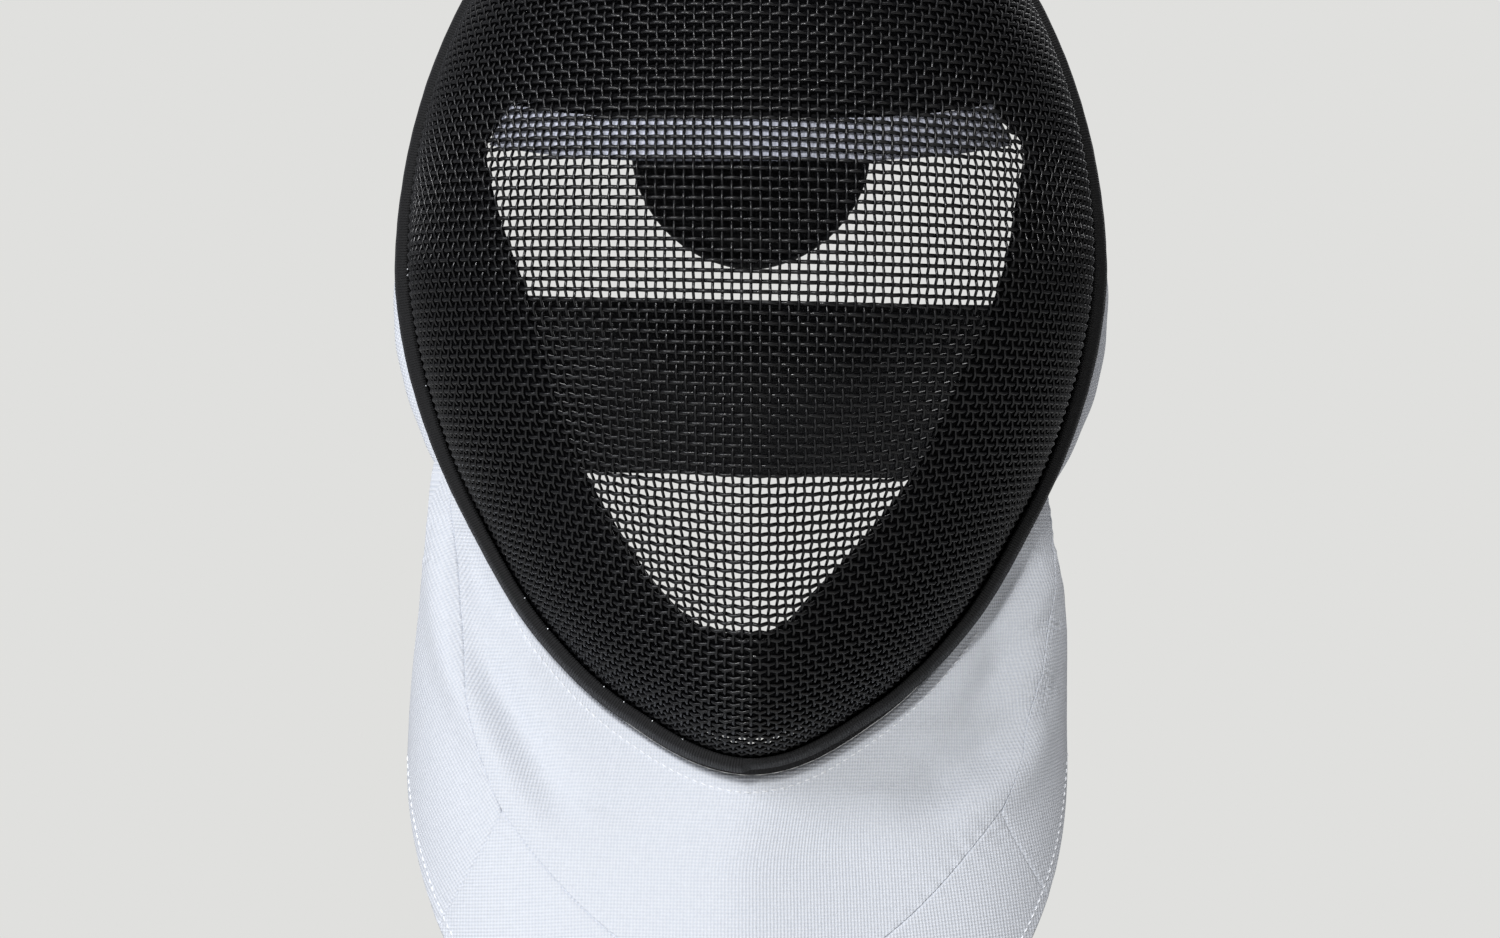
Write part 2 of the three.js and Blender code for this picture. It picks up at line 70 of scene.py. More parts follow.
# %% [markdown]
# ## Materials: three small helpers
# Colours are easiest to name as sRGB hex, but Blender's sockets are linear, so one function
# turns them. One more adds a node with its settings and links, which keeps each material
# below as a short list of what its surface does.

# %% Material helpers
def linear(hex_colour):
    """An sRGB hex colour as the linear RGBA that a socket takes."""
    channels = [int(hex_colour[k:k + 2], 16) / 255 for k in (1, 3, 5)]
    return [c / 12.92 if c <= 0.04045 else ((c + 0.055) / 1.055) ** 2.4 for c in channels] + [1.0]


def add_node(tree, kind, inputs=None, **settings):
    """Adds one node. An input takes a number, a colour, or another node's output socket."""
    node = tree.nodes.new(kind)
    for name, value in settings.items():
        setattr(node, name, value)
    for name, value in (inputs or {}).items():
        if isinstance(value, bpy.types.NodeSocket):
            tree.links.new(value, node.inputs[name])
        else:
            node.inputs[name].default_value = value
    return node


def new_material(name, **values):
    """A material with its Principled shader, whose sockets are set by name."""
    material = bpy.data.materials.new(name)
    material.use_nodes = True
    shader = material.node_tree.nodes["Principled BSDF"]
    for socket, value in values.items():
        shader.inputs[socket.replace("_", " ")].default_value = value
    return material, material.node_tree, shader


def wave_scale(pitch):
    """The Wave texture's scale for bands that repeat at this pitch in metres."""
    return 2 * math.pi / (20 * pitch)


# %% [markdown]
# ## Studio: floor, world and lights
# A pale floor far below catches the light that the bib throws down. Its edge fades out, so
# that no horizon line crosses the view. A world colour alone would light both sides alike,
# so the world is brighter towards the left for the light it gives, and even where it is seen.

# %% World
world = bpy.data.worlds.new("studio")
world.use_nodes = True
bpy.context.scene.world = world
sky = world.node_tree
sky.nodes.clear()
PALE = linear("#e0e0de")
direction = add_node(sky, "ShaderNodeTexCoord")
sides = add_node(sky, "ShaderNodeSeparateXYZ", {"Vector": direction.outputs["Generated"]})
side_ramp = add_node(sky, "ShaderNodeMapRange", {
    "Value": sides.outputs["X"], "From Min": -1.0, "From Max": 1.0, "To Min": 0.34, "To Max": 0.14,
})
soft_light = add_node(sky, "ShaderNodeBackground", {
    "Color": linear("#f3f5fb"), "Strength": side_ramp.outputs["Result"],
})
seen = add_node(sky, "ShaderNodeBackground", {"Color": PALE, "Strength": 1.0})
ray = add_node(sky, "ShaderNodeLightPath")
choice = add_node(sky, "ShaderNodeMixShader", {
    0: ray.outputs["Is Camera Ray"], 1: soft_light.outputs[0], 2: seen.outputs[0],
})
add_node(sky, "ShaderNodeOutputWorld", {"Surface": choice.outputs[0]})


# %% Lights
def area_light(name, place, aim, size, watts, colour):
    """A square soft light in metres, turned towards a point."""
    lamp = bpy.data.objects.new(name, bpy.data.lights.new(name, "AREA"))
    bpy.context.collection.objects.link(lamp)
    lamp.data.size = size
    lamp.data.energy = watts
    lamp.data.color = linear(colour)[:3]
    lamp.location = place
    lamp.rotation_euler = (Vector(aim) - Vector(place)).to_track_quat("-Z", "Y").to_euler()


MIDDLE = (0.0, 0.0, -0.2)
area_light("key_left", (-1.3, -1.5, 0.75), MIDDLE, 0.8, 22, "#f8faff")
area_light("front_left", (-0.35, -1.9, 0.5), MIDDLE, 0.2, 21, "#ffffff")
area_light("fill_right", (1.6, -1.4, 0.2), MIDDLE, 1.6, 3, "#fff6ea")
area_light("top_soft", (0.1, -0.3, 1.5), MIDDLE, 1.2, 9, "#ffffff")
area_light("back_rim", (0.3, 1.6, 0.4), MIDDLE, 1.2, 6, "#ffffff")
print("lights", [lamp.name for lamp in bpy.data.lights])

# %% Floor
FLOOR = {"height": -0.75, "radius": 3.0, "solid": 1.0}
floor_mesh = bpy.data.meshes.new("floor")
rim_points = [(FLOOR["radius"] * math.cos(k * math.pi / 32), FLOOR["radius"] * math.sin(k * math.pi / 32),
               FLOOR["height"]) for k in range(64)]
floor_mesh.from_pydata(rim_points, [], [list(range(64))])
floor = bpy.data.objects.new("floor", floor_mesh)
bpy.context.collection.objects.link(floor)
floor_paint, tree, shader = new_material("matt_studio_floor", Base_Color=linear("#dcdcda"), Roughness=0.9)
floor_place = add_node(tree, "ShaderNodeTexCoord").outputs["Object"]
flat_place = add_node(tree, "ShaderNodeVectorMath", {0: floor_place, 1: (1, 1, 0)}, operation="MULTIPLY")
distance = add_node(tree, "ShaderNodeVectorMath", {0: flat_place.outputs[0]}, operation="LENGTH")
fade = add_node(tree, "ShaderNodeMapRange", {
    "Value": distance.outputs["Value"], "From Min": FLOOR["solid"], "From Max": FLOOR["radius"] * 0.97,
    "To Min": 1.0, "To Max": 0.0,
})
tree.links.new(fade.outputs["Result"], shader.inputs["Alpha"])
floor_mesh.materials.append(floor_paint)


# %% [markdown]
# ## The cage's surface
# The wire face is pressed from a flat sheet into a dome. Modelling it by hand would need many
# loops that must all stay smooth, so the dome is a formula instead: in each direction from the
# nose point, a bulged quarter arc of some radius and depth, and straight walls behind it.
# The directions below the ears follow a short table, because the jaw narrows to a point.

# %% The dome in numbers
CAGE = {"half_width": 109, "up": 146, "thickness": 2, "fullness": 2.2}
BOW = {"side": 84, "crown": 36}
FLARE = {"start": 40, "slope": 0.0005}
JAW_STEP = 15 * DEGREE
JAW_RADIUS = np.array([110.6, 109, 109, 112.2, 119.5, 133.3, 147.5, 158, 147.5])
JAW_BOW = np.array([86.4, 84, 90, 106, 122, 122, 110, 92, 110])
KEEL = {"forehead": 0.07, "mouth": 0.13, "change": -50, "blend": 18, "reach": 45, "round": 2}
RIM = {"chin": 90, "jaw": 26, "jaw_reach": 0.2, "ear": 34, "ear_sweep": 2.4, "crown": 8}


def smooth_step(value, low, high):
    share = np.clip((value - low) / (high - low), 0, 1)
    return share * share * (3 - 2 * share)


def hill(value, width):
    return np.exp(-((value / width) ** 2))


def jaw_value(column, drop):
    """A smooth curve through one column of the jaw's table."""
    place = np.maximum(drop, 0) / JAW_STEP + 1
    row = np.minimum(place.astype(int), 6)
    share = place - row
    a, b, c, d = (column[row + k] for k in (-1, 0, 1, 2))
    bend = 3 * (b - c) + d - a
    return b + 0.5 * share * (c - a + share * (2 * a - 5 * b + 4 * c - d + share * bend))


def below_ear(angle):
    return np.arctan2(-np.sin(angle), np.abs(np.cos(angle)))


def wall_radius(angle):
    drop = below_ear(angle)
    above = 1 / np.hypot(np.cos(angle) / CAGE["half_width"], np.sin(angle) / CAGE["up"])
    return np.where(drop > 0, jaw_value(JAW_RADIUS, drop), above)


def bow_depth(angle):
    drop = below_ear(angle)
    above = BOW["side"] + BOW["crown"] * np.sin(angle) ** 2
    return np.where(drop > 0, jaw_value(JAW_BOW, drop), above)


def keel_depth(x, z):
    """The soft fold down the middle of the face, sharper at the mouth."""
    slope = KEEL["forehead"] + KEEL["mouth"] / (1 + np.exp((z - KEEL["change"]) / KEEL["blend"]))
    edge = KEEL["reach"] * np.exp(-KEEL["round"] / KEEL["reach"])
    return slope * (edge - KEEL["reach"] * np.exp(-np.hypot(x, KEEL["round"]) / KEEL["reach"]))


def flare(depth):
    return 1 + FLARE["slope"] * np.maximum(0, depth - FLARE["start"])


def cage_point(angle, travel):
    """The outer face: travel is 0 at the nose point and 1 where the bow ends."""
    turn = np.minimum(travel, 1) * RIGHT_ANGLE
    depth = bow_depth(angle) * (1 - np.cos(turn)) + np.maximum(travel - 1, 0) * 100
    radius = wall_radius(angle) * flare(depth) * np.maximum(np.sin(turn), 0) ** (2 / CAGE["fullness"])
    x = radius * np.cos(angle)
    z = radius * np.sin(angle)
    return np.stack([x, depth + keel_depth(x, z), z], axis=-1)


def cage_normal(angle, travel):
    place = np.maximum(travel, 0.01)
    along = cage_point(angle, place + 0.002) - cage_point(angle, place - 0.002)
    around = cage_point(angle + 0.002, place) - cage_point(angle - 0.002, place)
    normal = np.cross(along, around)
    return normal / np.linalg.norm(normal, axis=-1, keepdims=True)


def rim_depth(angle):
    height = wall_radius(angle) * np.sin(angle)
    share = 1 + np.minimum(height, 0) / JAW_RADIUS[7]
    jaw = RIM["jaw"] * (1 - np.exp(-share / RIM["jaw_reach"]))
    ear = RIM["ear"] * smooth_step(share, 0, 1) ** RIM["ear_sweep"]
    crown = RIM["crown"] * (np.maximum(height, 0) / CAGE["up"]) ** 2
    return RIM["chin"] + jaw + ear + crown


def rim_travel(angle):
    bow = bow_depth(angle)
    depth = rim_depth(angle)
    within = np.arccos(np.clip(1 - depth / bow, -1, 1)) / RIGHT_ANGLE
    return np.where(depth > bow, 1 + (depth - bow) / 100, within)


print("cage reaches", cage_point(0.0, rim_travel(0.0)).round(1), "at the ear")


# %% [markdown]
# ## Places near the rim
# The piping, the tape, the tabs and the top of the bib all follow the cut edge of the wire.
# Measuring them all in the same two numbers, how far along the cage from the edge and how far
# off its face, keeps them parallel and keeps the small gaps between them even.

# %% Places near the rim
RIM_SPANS = np.linspace(0, 0.3, 61)


def by_rim(angles, along, out):
    """A grid of places: a row for each angle, and a column for each pair of along and out.
    Along is how far past the cut edge, and out is how far off the outer face."""
    angles = np.asarray(angles, float)
    shape = (len(angles), np.shape(along)[-1])
    along, out = np.broadcast_to(along, shape), np.broadcast_to(out, shape)
    travels = rim_travel(angles)[:, None] - RIM_SPANS
    line = cage_point(angles[:, None], travels)
    lengths = np.zeros(travels.shape)
    lengths[:, 1:] = np.cumsum(np.linalg.norm(np.diff(line, axis=1), axis=-1), axis=1)
    back = np.maximum(-along, 0)
    step = np.clip((lengths[:, None] <= back[..., None]).sum(-1) - 1, 0, len(RIM_SPANS) - 2)
    row = np.arange(len(angles))[:, None]
    share = (back - lengths[row, step]) / (lengths[row, step + 1] - lengths[row, step])
    travel = travels[row, step] - share * RIM_SPANS[1]
    heading = line[:, 0] - line[:, 1]
    heading /= np.linalg.norm(heading, axis=-1, keepdims=True)
    angle = np.broadcast_to(angles[:, None], shape)
    past = heading[:, None] * np.maximum(along, 0)[..., None]
    return cage_point(angle, travel) + past + cage_normal(angle, travel) * out[..., None]


def placed(points):
    """From millimetres off the nose point to metres in the mask's own frame."""
    return (np.asarray(points) + NOSE) / 1000


print("rim at the chin", placed(by_rim([-RIGHT_ANGLE], [0.0], 0.0)[0, 0]).round(4))

# %% [markdown]
# ## The woven wire: where the wires cross
# A flat woven sheet keeps the distance between its crossings when it is pressed over a dome;
# only the angle between the wires gives. That rule is a Chebyshev net, and it is what makes
# the wires crowd and lean towards the edges. A bump texture can't give that, or the holes.
# So the crossings are solved: each new one is one pitch from two known neighbours and on the
# dome. The work goes outward from the middle in diagonal fronts, four quarters at once.

# %% The dome as one equation
PITCH = {"across": 3.0, "down": 3.19, "skew": -1.2 * DEGREE}
HALF_WIRES = {"across": 75, "down": 85}


def off_dome(points):
    """Zero on the outer face, negative inside it."""
    x, y, z = points[..., 0], points[..., 1], points[..., 2]
    angle = np.arctan2(z, x)
    bow = bow_depth(angle)
    depth = y - keel_depth(x, z)
    across = np.hypot(x, z) / (wall_radius(angle) * flare(depth))
    left = np.maximum(0, (bow - depth) / bow)
    return across ** CAGE["fullness"] + left ** 2 - 1


def dome_slope(points):
    slope = np.zeros_like(points)
    for axis in range(3):
        small = np.zeros(3)
        small[axis] = 0.001
        slope[..., axis] = (off_dome(points + small) - off_dome(points - small)) / 0.002
    return slope


def outward(points):
    slope = dome_slope(points)
    return slope / np.linalg.norm(slope, axis=-1, keepdims=True)


# %% Solving the net
def next_on_line(last, heading, pitch, side):
    """One pitch further along a wire that stays in a flat plane through the nose point."""
    guess = last + heading * pitch
    for _ in range(12):
        miss = np.array([((guess - last) ** 2).sum() - pitch**2, guess @ side, off_dome(guess) * 100])
        slopes = np.array([2 * (guess - last), side, dome_slope(guess) * 100])
        guess = guess - np.linalg.solve(slopes, miss)
    return guess


def middle_wire(heading, pitch, count, side):
    places = [np.zeros(3)]
    for _ in range(count):
        places.append(next_on_line(places[-1], heading, pitch, side))
        heading = (places[-1] - places[-2]) / pitch
    return np.array(places)


def next_in_front(beside, below, guess):
    """Crossings one pitch from both known neighbours, by Newton's method on whole arrays."""
    pitch_a, pitch_b = PITCH["across"] ** 2, PITCH["down"] ** 2
    for _ in range(8):
        to_a, to_b = guess - beside, guess - below
        miss = np.stack([(to_a**2).sum(-1) - pitch_a, (to_b**2).sum(-1) - pitch_b, off_dome(guess) * 100], -1)
        slopes = np.stack([2 * to_a, 2 * to_b, dome_slope(guess) * 100], -2) + 1e-9 * np.eye(3)
        step = np.linalg.solve(slopes, miss[..., None])[..., 0]
        length = np.linalg.norm(step, axis=-1, keepdims=True)
        guess = guess - step * np.minimum(1, 2 / np.maximum(length, 1e-9))
    return guess


def solve_net():
    across, down = HALF_WIRES["across"], HALF_WIRES["down"]
    net = np.full((2 * across + 1, 2 * down + 1, 3), np.nan)
    skewed = np.array([math.cos(PITCH["skew"]), 0, math.sin(PITCH["skew"])])
    upright, level = np.array([1.0, 0, 0]), np.array([-skewed[2], 0, skewed[0]])
    for sign in (1, -1):
        net[across, down::sign] = middle_wire(np.array([0, 0, sign]), PITCH["down"], down, upright)
        net[across::sign, down] = middle_wire(skewed * sign, PITCH["across"], across, level)
    quarters = np.array([(i, j) for i in (1, -1) for j in (1, -1)])
    for front in range(2, across + down + 1):
        i = np.arange(max(1, front - down), min(across, front - 1) + 1)
        sign_i, sign_j = (quarters[:, k, None] * np.ones_like(i) for k in (0, 1))
        I, J = across + sign_i * i, down + sign_j * (front - i)
        beside, below, corner = net[I - sign_i, J], net[I, J - sign_j], net[I - sign_i, J - sign_j]
        guess = beside + below - corner
        found = next_in_front(beside, below, np.nan_to_num(guess))
        far = np.linalg.norm(found - guess, axis=-1)
        net[I, J] = np.where((far < 2.5)[..., None] & np.isfinite(guess), found, np.nan)
    return net


crossings = solve_net()
print("crossings solved", int(np.isfinite(crossings[..., 0]).sum()))


# %% [markdown]
# ## From points to pieces
# Almost every piece here is a grid of points wrapped over the dome: a tube round a wire, a
# ring of piping, a panel of cloth. One function numbers a grid's quads and one makes the
# object, turns its faces outward, lays its UV map in metres and fixes it to the mask's body.

# %% Grid and piece helpers
def grid_faces(rows, columns, around=False, ring=False, first=0):
    """Quads of a grid numbered row by row. Around joins its last column to its first, and
    ring joins its last row to its first."""
    row = np.arange(rows if ring else rows - 1)[:, None]
    column = np.arange(columns if around else columns - 1)[None]
    next_row, next_column = (row + 1) % rows, (column + 1) % columns
    quads = [row * columns + column, row * columns + next_column,
             next_row * columns + next_column, next_row * columns + column]
    return np.stack(quads, axis=-1).reshape(-1, 4) + first


def signed_volume(points, quads):
    a, b, c, d = (points[quads[:, k]] for k in range(4))
    return ((a * np.cross(b, c)).sum() + (a * np.cross(c, d)).sum()) / 6


def make_piece(name, points, quads, material, uv=None, caps=()):
    """A smooth-shaded object from millimetre points and quads. Caps are extra end faces."""
    points = placed(points)
    faces = [tuple(quad) for quad in quads.tolist()] + [tuple(cap) for cap in caps]
    if signed_volume(points, quads) < 0:
        faces = [face[::-1] for face in faces]
    mesh = bpy.data.meshes.new(name)
    mesh.from_pydata(points.tolist(), [], faces)
    mesh.shade_smooth()
    if uv is not None:
        corners = np.zeros(len(mesh.loops), int)
        mesh.loops.foreach_get("vertex_index", corners)
        mesh.uv_layers.new(name="UVMap").data.foreach_set("uv", np.asarray(uv)[corners].ravel())
    mesh.materials.append(material)
    piece = bpy.data.objects.new(name, mesh)
    bpy.context.collection.objects.link(piece)
    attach(piece, "root")
    return piece


# %% [markdown]
# ## The woven wire: tubes over and under
# Each wire is steel, about 1 mm thick, and passes over one crossing wire and under the next.
# The weft is drawn a third thicker than the warp, because it looks heavier on the real mesh.
# The crimp is half a wire up and half a wire down, so the two layers just touch. A curve with a
# bevel could do it, but two hundred curves with their own tilt are slow, and a plain tube of
# five sides is round enough at this size. The enamel is black, hard and half glossy, which
# gives each raised bend one short bright stroke.

# %% Enamelled wire
enamel, tree, shader = new_material(
    "black_enamelled_steel_wire",
    Base_Color=linear("#08080a"),
    Roughness=0.3,
    IOR=1.5,
    Specular_IOR_Level=0.4,
)
# Brushed-on enamel dries a little uneven: patches about 6 mm across show at this distance.
place = add_node(tree, "ShaderNodeTexCoord").outputs["Object"]
patches = add_node(tree, "ShaderNodeTexNoise", {"Vector": place, "Scale": 160.0, "Detail": 2.0})
shine = add_node(tree, "ShaderNodeMapRange", {
    "Value": patches.outputs["Fac"], "From Min": 0.3, "From Max": 0.7, "To Min": 0.2, "To Max": 0.4,
})
tree.links.new(shine.outputs["Result"], shader.inputs["Roughness"])

# %% Woven wires
WIRE = {"warp": 0.5, "weft": 0.68, "crimp": 0.6, "sides": 5, "stop": 1.6}
wire_normals = outward(np.nan_to_num(crossings, nan=50.0))
crossing_angle = np.arctan2(crossings[..., 2], crossings[..., 0])
crossing_depth = crossings[..., 1] - keel_depth(crossings[..., 0], crossings[..., 2])
room = rim_depth(np.nan_to_num(crossing_angle)) - WIRE["stop"] - crossing_depth


def run_inside(room_left):
    """The stretch of a wire, in crossings, that lies before the cut edge of the mesh."""
    middle = len(room_left) // 2
    ends = []
    for step in (-1, 1):
        k = middle
        while 0 < k < len(room_left) - 1 and room_left[k + step] > 0:
            k += step
        beyond = room_left[k + step] if 0 < k < len(room_left) - 1 else np.nan
        part = room_left[k] / (room_left[k] - beyond) if np.isfinite(beyond) else 0.0
        ends.append(k + step * min(part, 0.98))
    return ends


def wire_tube(places, normals, room_left, over, radius):
    """Rings of points round one wire, two for each crossing."""
    start, end = run_inside(room_left)
    inner = np.arange(math.ceil(start * 2) / 2, end, 0.5)
    station = np.unique(np.concatenate([[start], inner, [end]]))
    low = np.minimum(station.astype(int), len(places) - 2)
    share = (station - low)[:, None]
    line = places[low] * (1 - share) + places[low + 1] * share
    normal = normals[low] * (1 - share) + normals[low + 1] * share
    lift = WIRE["crimp"] * np.cos(math.pi * station) * over - CAGE["thickness"] / 2
    line = line + normal * lift[:, None]
    heading = np.gradient(line, axis=0)
    side = np.cross(heading, normal)
    side /= np.linalg.norm(side, axis=-1, keepdims=True)
    top = np.cross(side, heading)
    top /= np.linalg.norm(top, axis=-1, keepdims=True)
    turn = np.arange(WIRE["sides"]) * 2 * math.pi / WIRE["sides"]
    round_it = np.cos(turn)[None, :, None] * top[:, None] + np.sin(turn)[None, :, None] * side[:, None]
    return line[:, None] + radius * round_it


def weave_piece(name, wires):
    """Joins many wire tubes, each with its two end caps, into one object."""
    points, quads, caps, first = [], [], [], 0
    sides = WIRE["sides"]
    for rings in wires:
        count = len(rings)
        points.append(rings.reshape(-1, 3))
        quads.append(grid_faces(count, sides, around=True, first=first))
        caps.append(tuple(range(first + sides - 1, first - 1, -1)))
        caps.append(tuple(range(first + (count - 1) * sides, first + count * sides)))
        first += count * sides
    piece = make_piece(name, np.concatenate(points), np.concatenate(quads), enamel, caps=caps)
    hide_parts("wire_cage")
    print(name, len(wires), "wires", len(piece.data.polygons), "faces")
    return piece


def weave(net, normals, room_left, radius, first):
    """Every wire along the second axis of a net that starts inside the rim. First is 1 where
    the even wires start over the others, and -1 where they start under."""
    middle = net.shape[1] // 2
    tubes = {}
    for k in range(net.shape[0]):
        if room_left[k, middle] > 0:
            tubes[k] = wire_tube(net[k], normals[k], room_left[k], first * (-1) ** k, radius)
    return tubes


warp = weave(crossings, wire_normals, room, WIRE["warp"], 1)
weft = weave(crossings.swapaxes(0, 1), wire_normals.swapaxes(0, 1), room.T, WIRE["weft"], -1)
middle_warp, middle_weft = HALF_WIRES["across"], HALF_WIRES["down"]
weave_piece("warp_wires_right", [tube for k, tube in warp.items() if k < middle_warp])
weave_piece("warp_wires_left", [tube for k, tube in warp.items() if k >= middle_warp])
weave_piece("weft_wires_lower", [tube for k, tube in weft.items() if k < middle_weft])
weave_piece("weft_wires_upper", [tube for k, tube in weft.items() if k >= middle_weft])


# %% [markdown]
# ## The piping
# The cut wire ends are sharp, so a strip of black cloth is folded over the edge all the way
# round and glued down. Its section is a U, round at the back. A curve with a bevel object
# would twist on the tight turn at the chin, so the section is swept by the two rim numbers.

# %% Piping cloth
piping_cloth, tree, shader = new_material(
    "black_glued_cotton_piping",
    Base_Color=linear("#141415"),
    Roughness=0.72,
    Specular_IOR_Level=0.35,
    Sheen_Weight=0.12,
    Sheen_Roughness=0.5,
    Sheen_Tint=linear("#8c8c90"),
)
# The thread is 0.4 mm, too fine to show, so its ribs are drawn 0.9 mm apart.
cloth_uv = add_node(tree, "ShaderNodeUVMap", uv_map="UVMap").outputs["UV"]
ribs = add_node(tree, "ShaderNodeTexWave", {
    "Vector": cloth_uv, "Scale": wave_scale(0.0009), "Distortion": 1.2, "Detail": 1.0,
}, bands_direction="X")
fuzz = add_node(tree, "ShaderNodeTexNoise", {"Vector": cloth_uv, "Scale": 900.0, "Detail": 3.0})
mixed = add_node(tree, "ShaderNodeMath", {0: ribs.outputs["Fac"], 1: fuzz.outputs["Fac"]}, operation="ADD")
raised = add_node(tree, "ShaderNodeBump", {"Height": mixed.outputs[0], "Strength": 0.9, "Distance": 0.0005})
tree.links.new(raised.outputs["Normal"], shader.inputs["Normal"])

# %% Piping
PIPING_SECTION = np.array([
    (-9.0, 0.6), (-8.7, 2.8), (-6.5, 4.0), (1.2, 4.3), (3.0, 2.6), (3.4, -0.6), (3.0, -3.0),
    (1.2, -4.1), (-8.6, -3.8), (-9.0, -2.6), (0.5, -2.6), (0.5, 0.6),
])
PIPING_OUTSIDE = {"chin_slim": 0.3, "chin_spread": 28 * DEGREE, "ear_full": 0.3}
EAR = {"angle": -12 * DEGREE, "spread": 30 * DEGREE}


def smooth_loop(corners, steps):
    """A closed Catmull-Rom curve through the corners."""
    share = np.arange(steps)[:, None] / steps
    a, b, c, d = (np.roll(corners, 1 - k, axis=0)[:, None] for k in range(4))
    bend = 3 * (b - c) + d - a
    curve = b + 0.5 * share * (c - a + share * (2 * a - 5 * b + 4 * c - d + share * bend))
    return curve.reshape(-1, corners.shape[1])


def loop_length(grid, axis):
    """The running length along one axis of a grid of points, averaged over the other."""
    steps = np.linalg.norm(np.diff(grid, axis=axis), axis=-1).mean(axis=1 - axis)
    return np.concatenate([[0.0], np.cumsum(steps)])


def ripple(angle, waves, phase):
    """A repeatable unevenness round the rim, from a few sine waves."""
    return sum(np.sin(angle * wave + phase * wave * wave) for wave in waves) / len(waves)


def piping_fullness(angle):
    chin = PIPING_OUTSIDE["chin_slim"] * hill(angle + RIGHT_ANGLE, PIPING_OUTSIDE["chin_spread"])
    return 1 - chin + PIPING_OUTSIDE["ear_full"] * hill(below_ear(angle) + EAR["angle"], EAR["spread"])


piping_angles = np.arange(420) / 420 * 2 * math.pi - RIGHT_ANGLE
section = smooth_loop(PIPING_SECTION, 3)
piping_along = section[:, 0] + 0.12 * ripple(piping_angles[:, None], (7, 19, 43, 61), 0.7)
full_out = section[:, 1] * piping_fullness(piping_angles)[:, None]
piping_out = np.where(section[:, 1] > 1, full_out, section[:, 1])
piping_out = piping_out + 0.1 * ripple(piping_angles[:, None] + section[:, 0] * 0.02, (11, 31, 53, 97), 1.9)
piping_grid = by_rim(piping_angles, piping_along, piping_out)
along_uv = loop_length(piping_grid, 0) / 1000
around_uv = loop_length(piping_grid, 1) / 1000
piping_uv = np.stack(np.meshgrid(along_uv, around_uv, indexing="ij"), axis=-1).reshape(-1, 2)
quads = grid_faces(len(piping_angles), len(section), around=True, ring=True)
piping = make_piece("piping", piping_grid.reshape(-1, 3), quads, piping_cloth, piping_uv)
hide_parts("edge_binding")
print("piping", len(quads), "faces")


# %% [markdown]
# ## The bib's surface
# The bib is cut flat from a thick white cloth and hangs from the rim like a shield. It is
# curved one way only, so it can be drawn by two shares: across, from one side to the other,
# and down, from the rim to the hem. Its straight lines down hold the cloth's real length.

# %% Bib surface
BIB = {"reach": 54 * DEGREE, "half_width": 112, "front": 78, "wrap": 82, "corner": -165,
       "drop": 120, "belly": 3, "thickness": 3}
BIB_SHIFT = {"sideways": -4.4, "reach": 0.3}
BIB_TOP = {"along": 6.5, "out": 0.9, "chin_along": 0.9, "chin_out": 3.6, "spread": 28 * DEGREE}


def past_rim(angle, along, out):
    """A place behind the cut edge; the three arrays have one shape."""
    rim = rim_travel(angle)
    edge = cage_point(angle, rim)
    heading = edge - cage_point(angle, rim - 0.005)
    heading /= np.linalg.norm(heading, axis=-1, keepdims=True)
    return edge + heading * along[..., None] + cage_normal(angle, rim) * out[..., None]


def bib_top_place(angle):
    chin = hill(angle + RIGHT_ANGLE, BIB_TOP["spread"])
    return BIB_TOP["along"] + BIB_TOP["chin_along"] * chin, BIB_TOP["out"] + BIB_TOP["chin_out"] * chin


def bib_point(across, down):
    turn = across * RIGHT_ANGLE
    angle = BIB["reach"] * across - RIGHT_ANGLE
    top = past_rim(angle, *bib_top_place(angle))
    hem = np.stack([
        BIB["half_width"] * np.sin(turn),
        BIB["front"] + BIB["wrap"] * (1 - np.cos(turn)),
        BIB["corner"] - BIB["drop"] * np.cos(turn),
    ], axis=-1)
    belly = BIB["belly"] * np.sin(math.pi * np.clip(down, 0, 1))
    shift = BIB_SHIFT["sideways"] * smooth_step(down, 0, BIB_SHIFT["reach"])
    extra = np.stack([belly * np.sin(turn) + shift, -belly * np.cos(turn), 0 * turn], axis=-1)
    return top * (1 - down[..., None]) + hem * down[..., None] + extra


def bib_normal(across, down):
    sideways = bib_point(across + 0.004, down) - bib_point(across - 0.004, down)
    downward = bib_point(across, down + 0.004) - bib_point(across, down - 0.004)
    normal = np.cross(downward, sideways)
    return normal / np.linalg.norm(normal, axis=-1, keepdims=True)


# %% [markdown]
# ## The bib's seams
# The bib is four panels: a front one, two side ones, and an apron below a U-shaped seam. The
# seams are curves on the bib, so each is found where the surface meets a simple curve seen
# from the front. Splitting the cloth there, and not drawing a line on one sheet, gives each
# panel its own puff and leaves a true groove between them.

# %% Seams
SEAM = {"fork_out": 82, "fork_up": -180, "spread": 18, "fade": 35, "branch": 0.58, "dip": 56}


def crossing_share(low, high, height):
    """The share where a rising function of it passes zero, by halving."""
    for _ in range(26):
        middle = (low + high) / 2
        short = height(middle) < 0
        low, high = np.where(short, middle, low), np.where(short, high, middle)
    return (low + high) / 2


def seam_across(side, down):
    def past_seam(share):
        point = bib_point(side * share, down)
        above = point[..., 2] - SEAM["fork_up"]
        fanned = SEAM["spread"] * (1 - np.exp(-np.maximum(above, 0) / SEAM["fade"]))
        return side * point[..., 0] - SEAM["fork_out"] - np.where(above < 0, -SEAM["branch"] * above, fanned)
    return side * crossing_share(np.full_like(down, 0.2), np.full_like(down, 0.99), past_seam)


def fork_down(side):
    low, high = np.array(0.2), np.array(0.9)

    def above_fork(down):
        return SEAM["fork_up"] - bib_point(seam_across(side, down), down)[2]
    return crossing_share(low, high, above_fork)


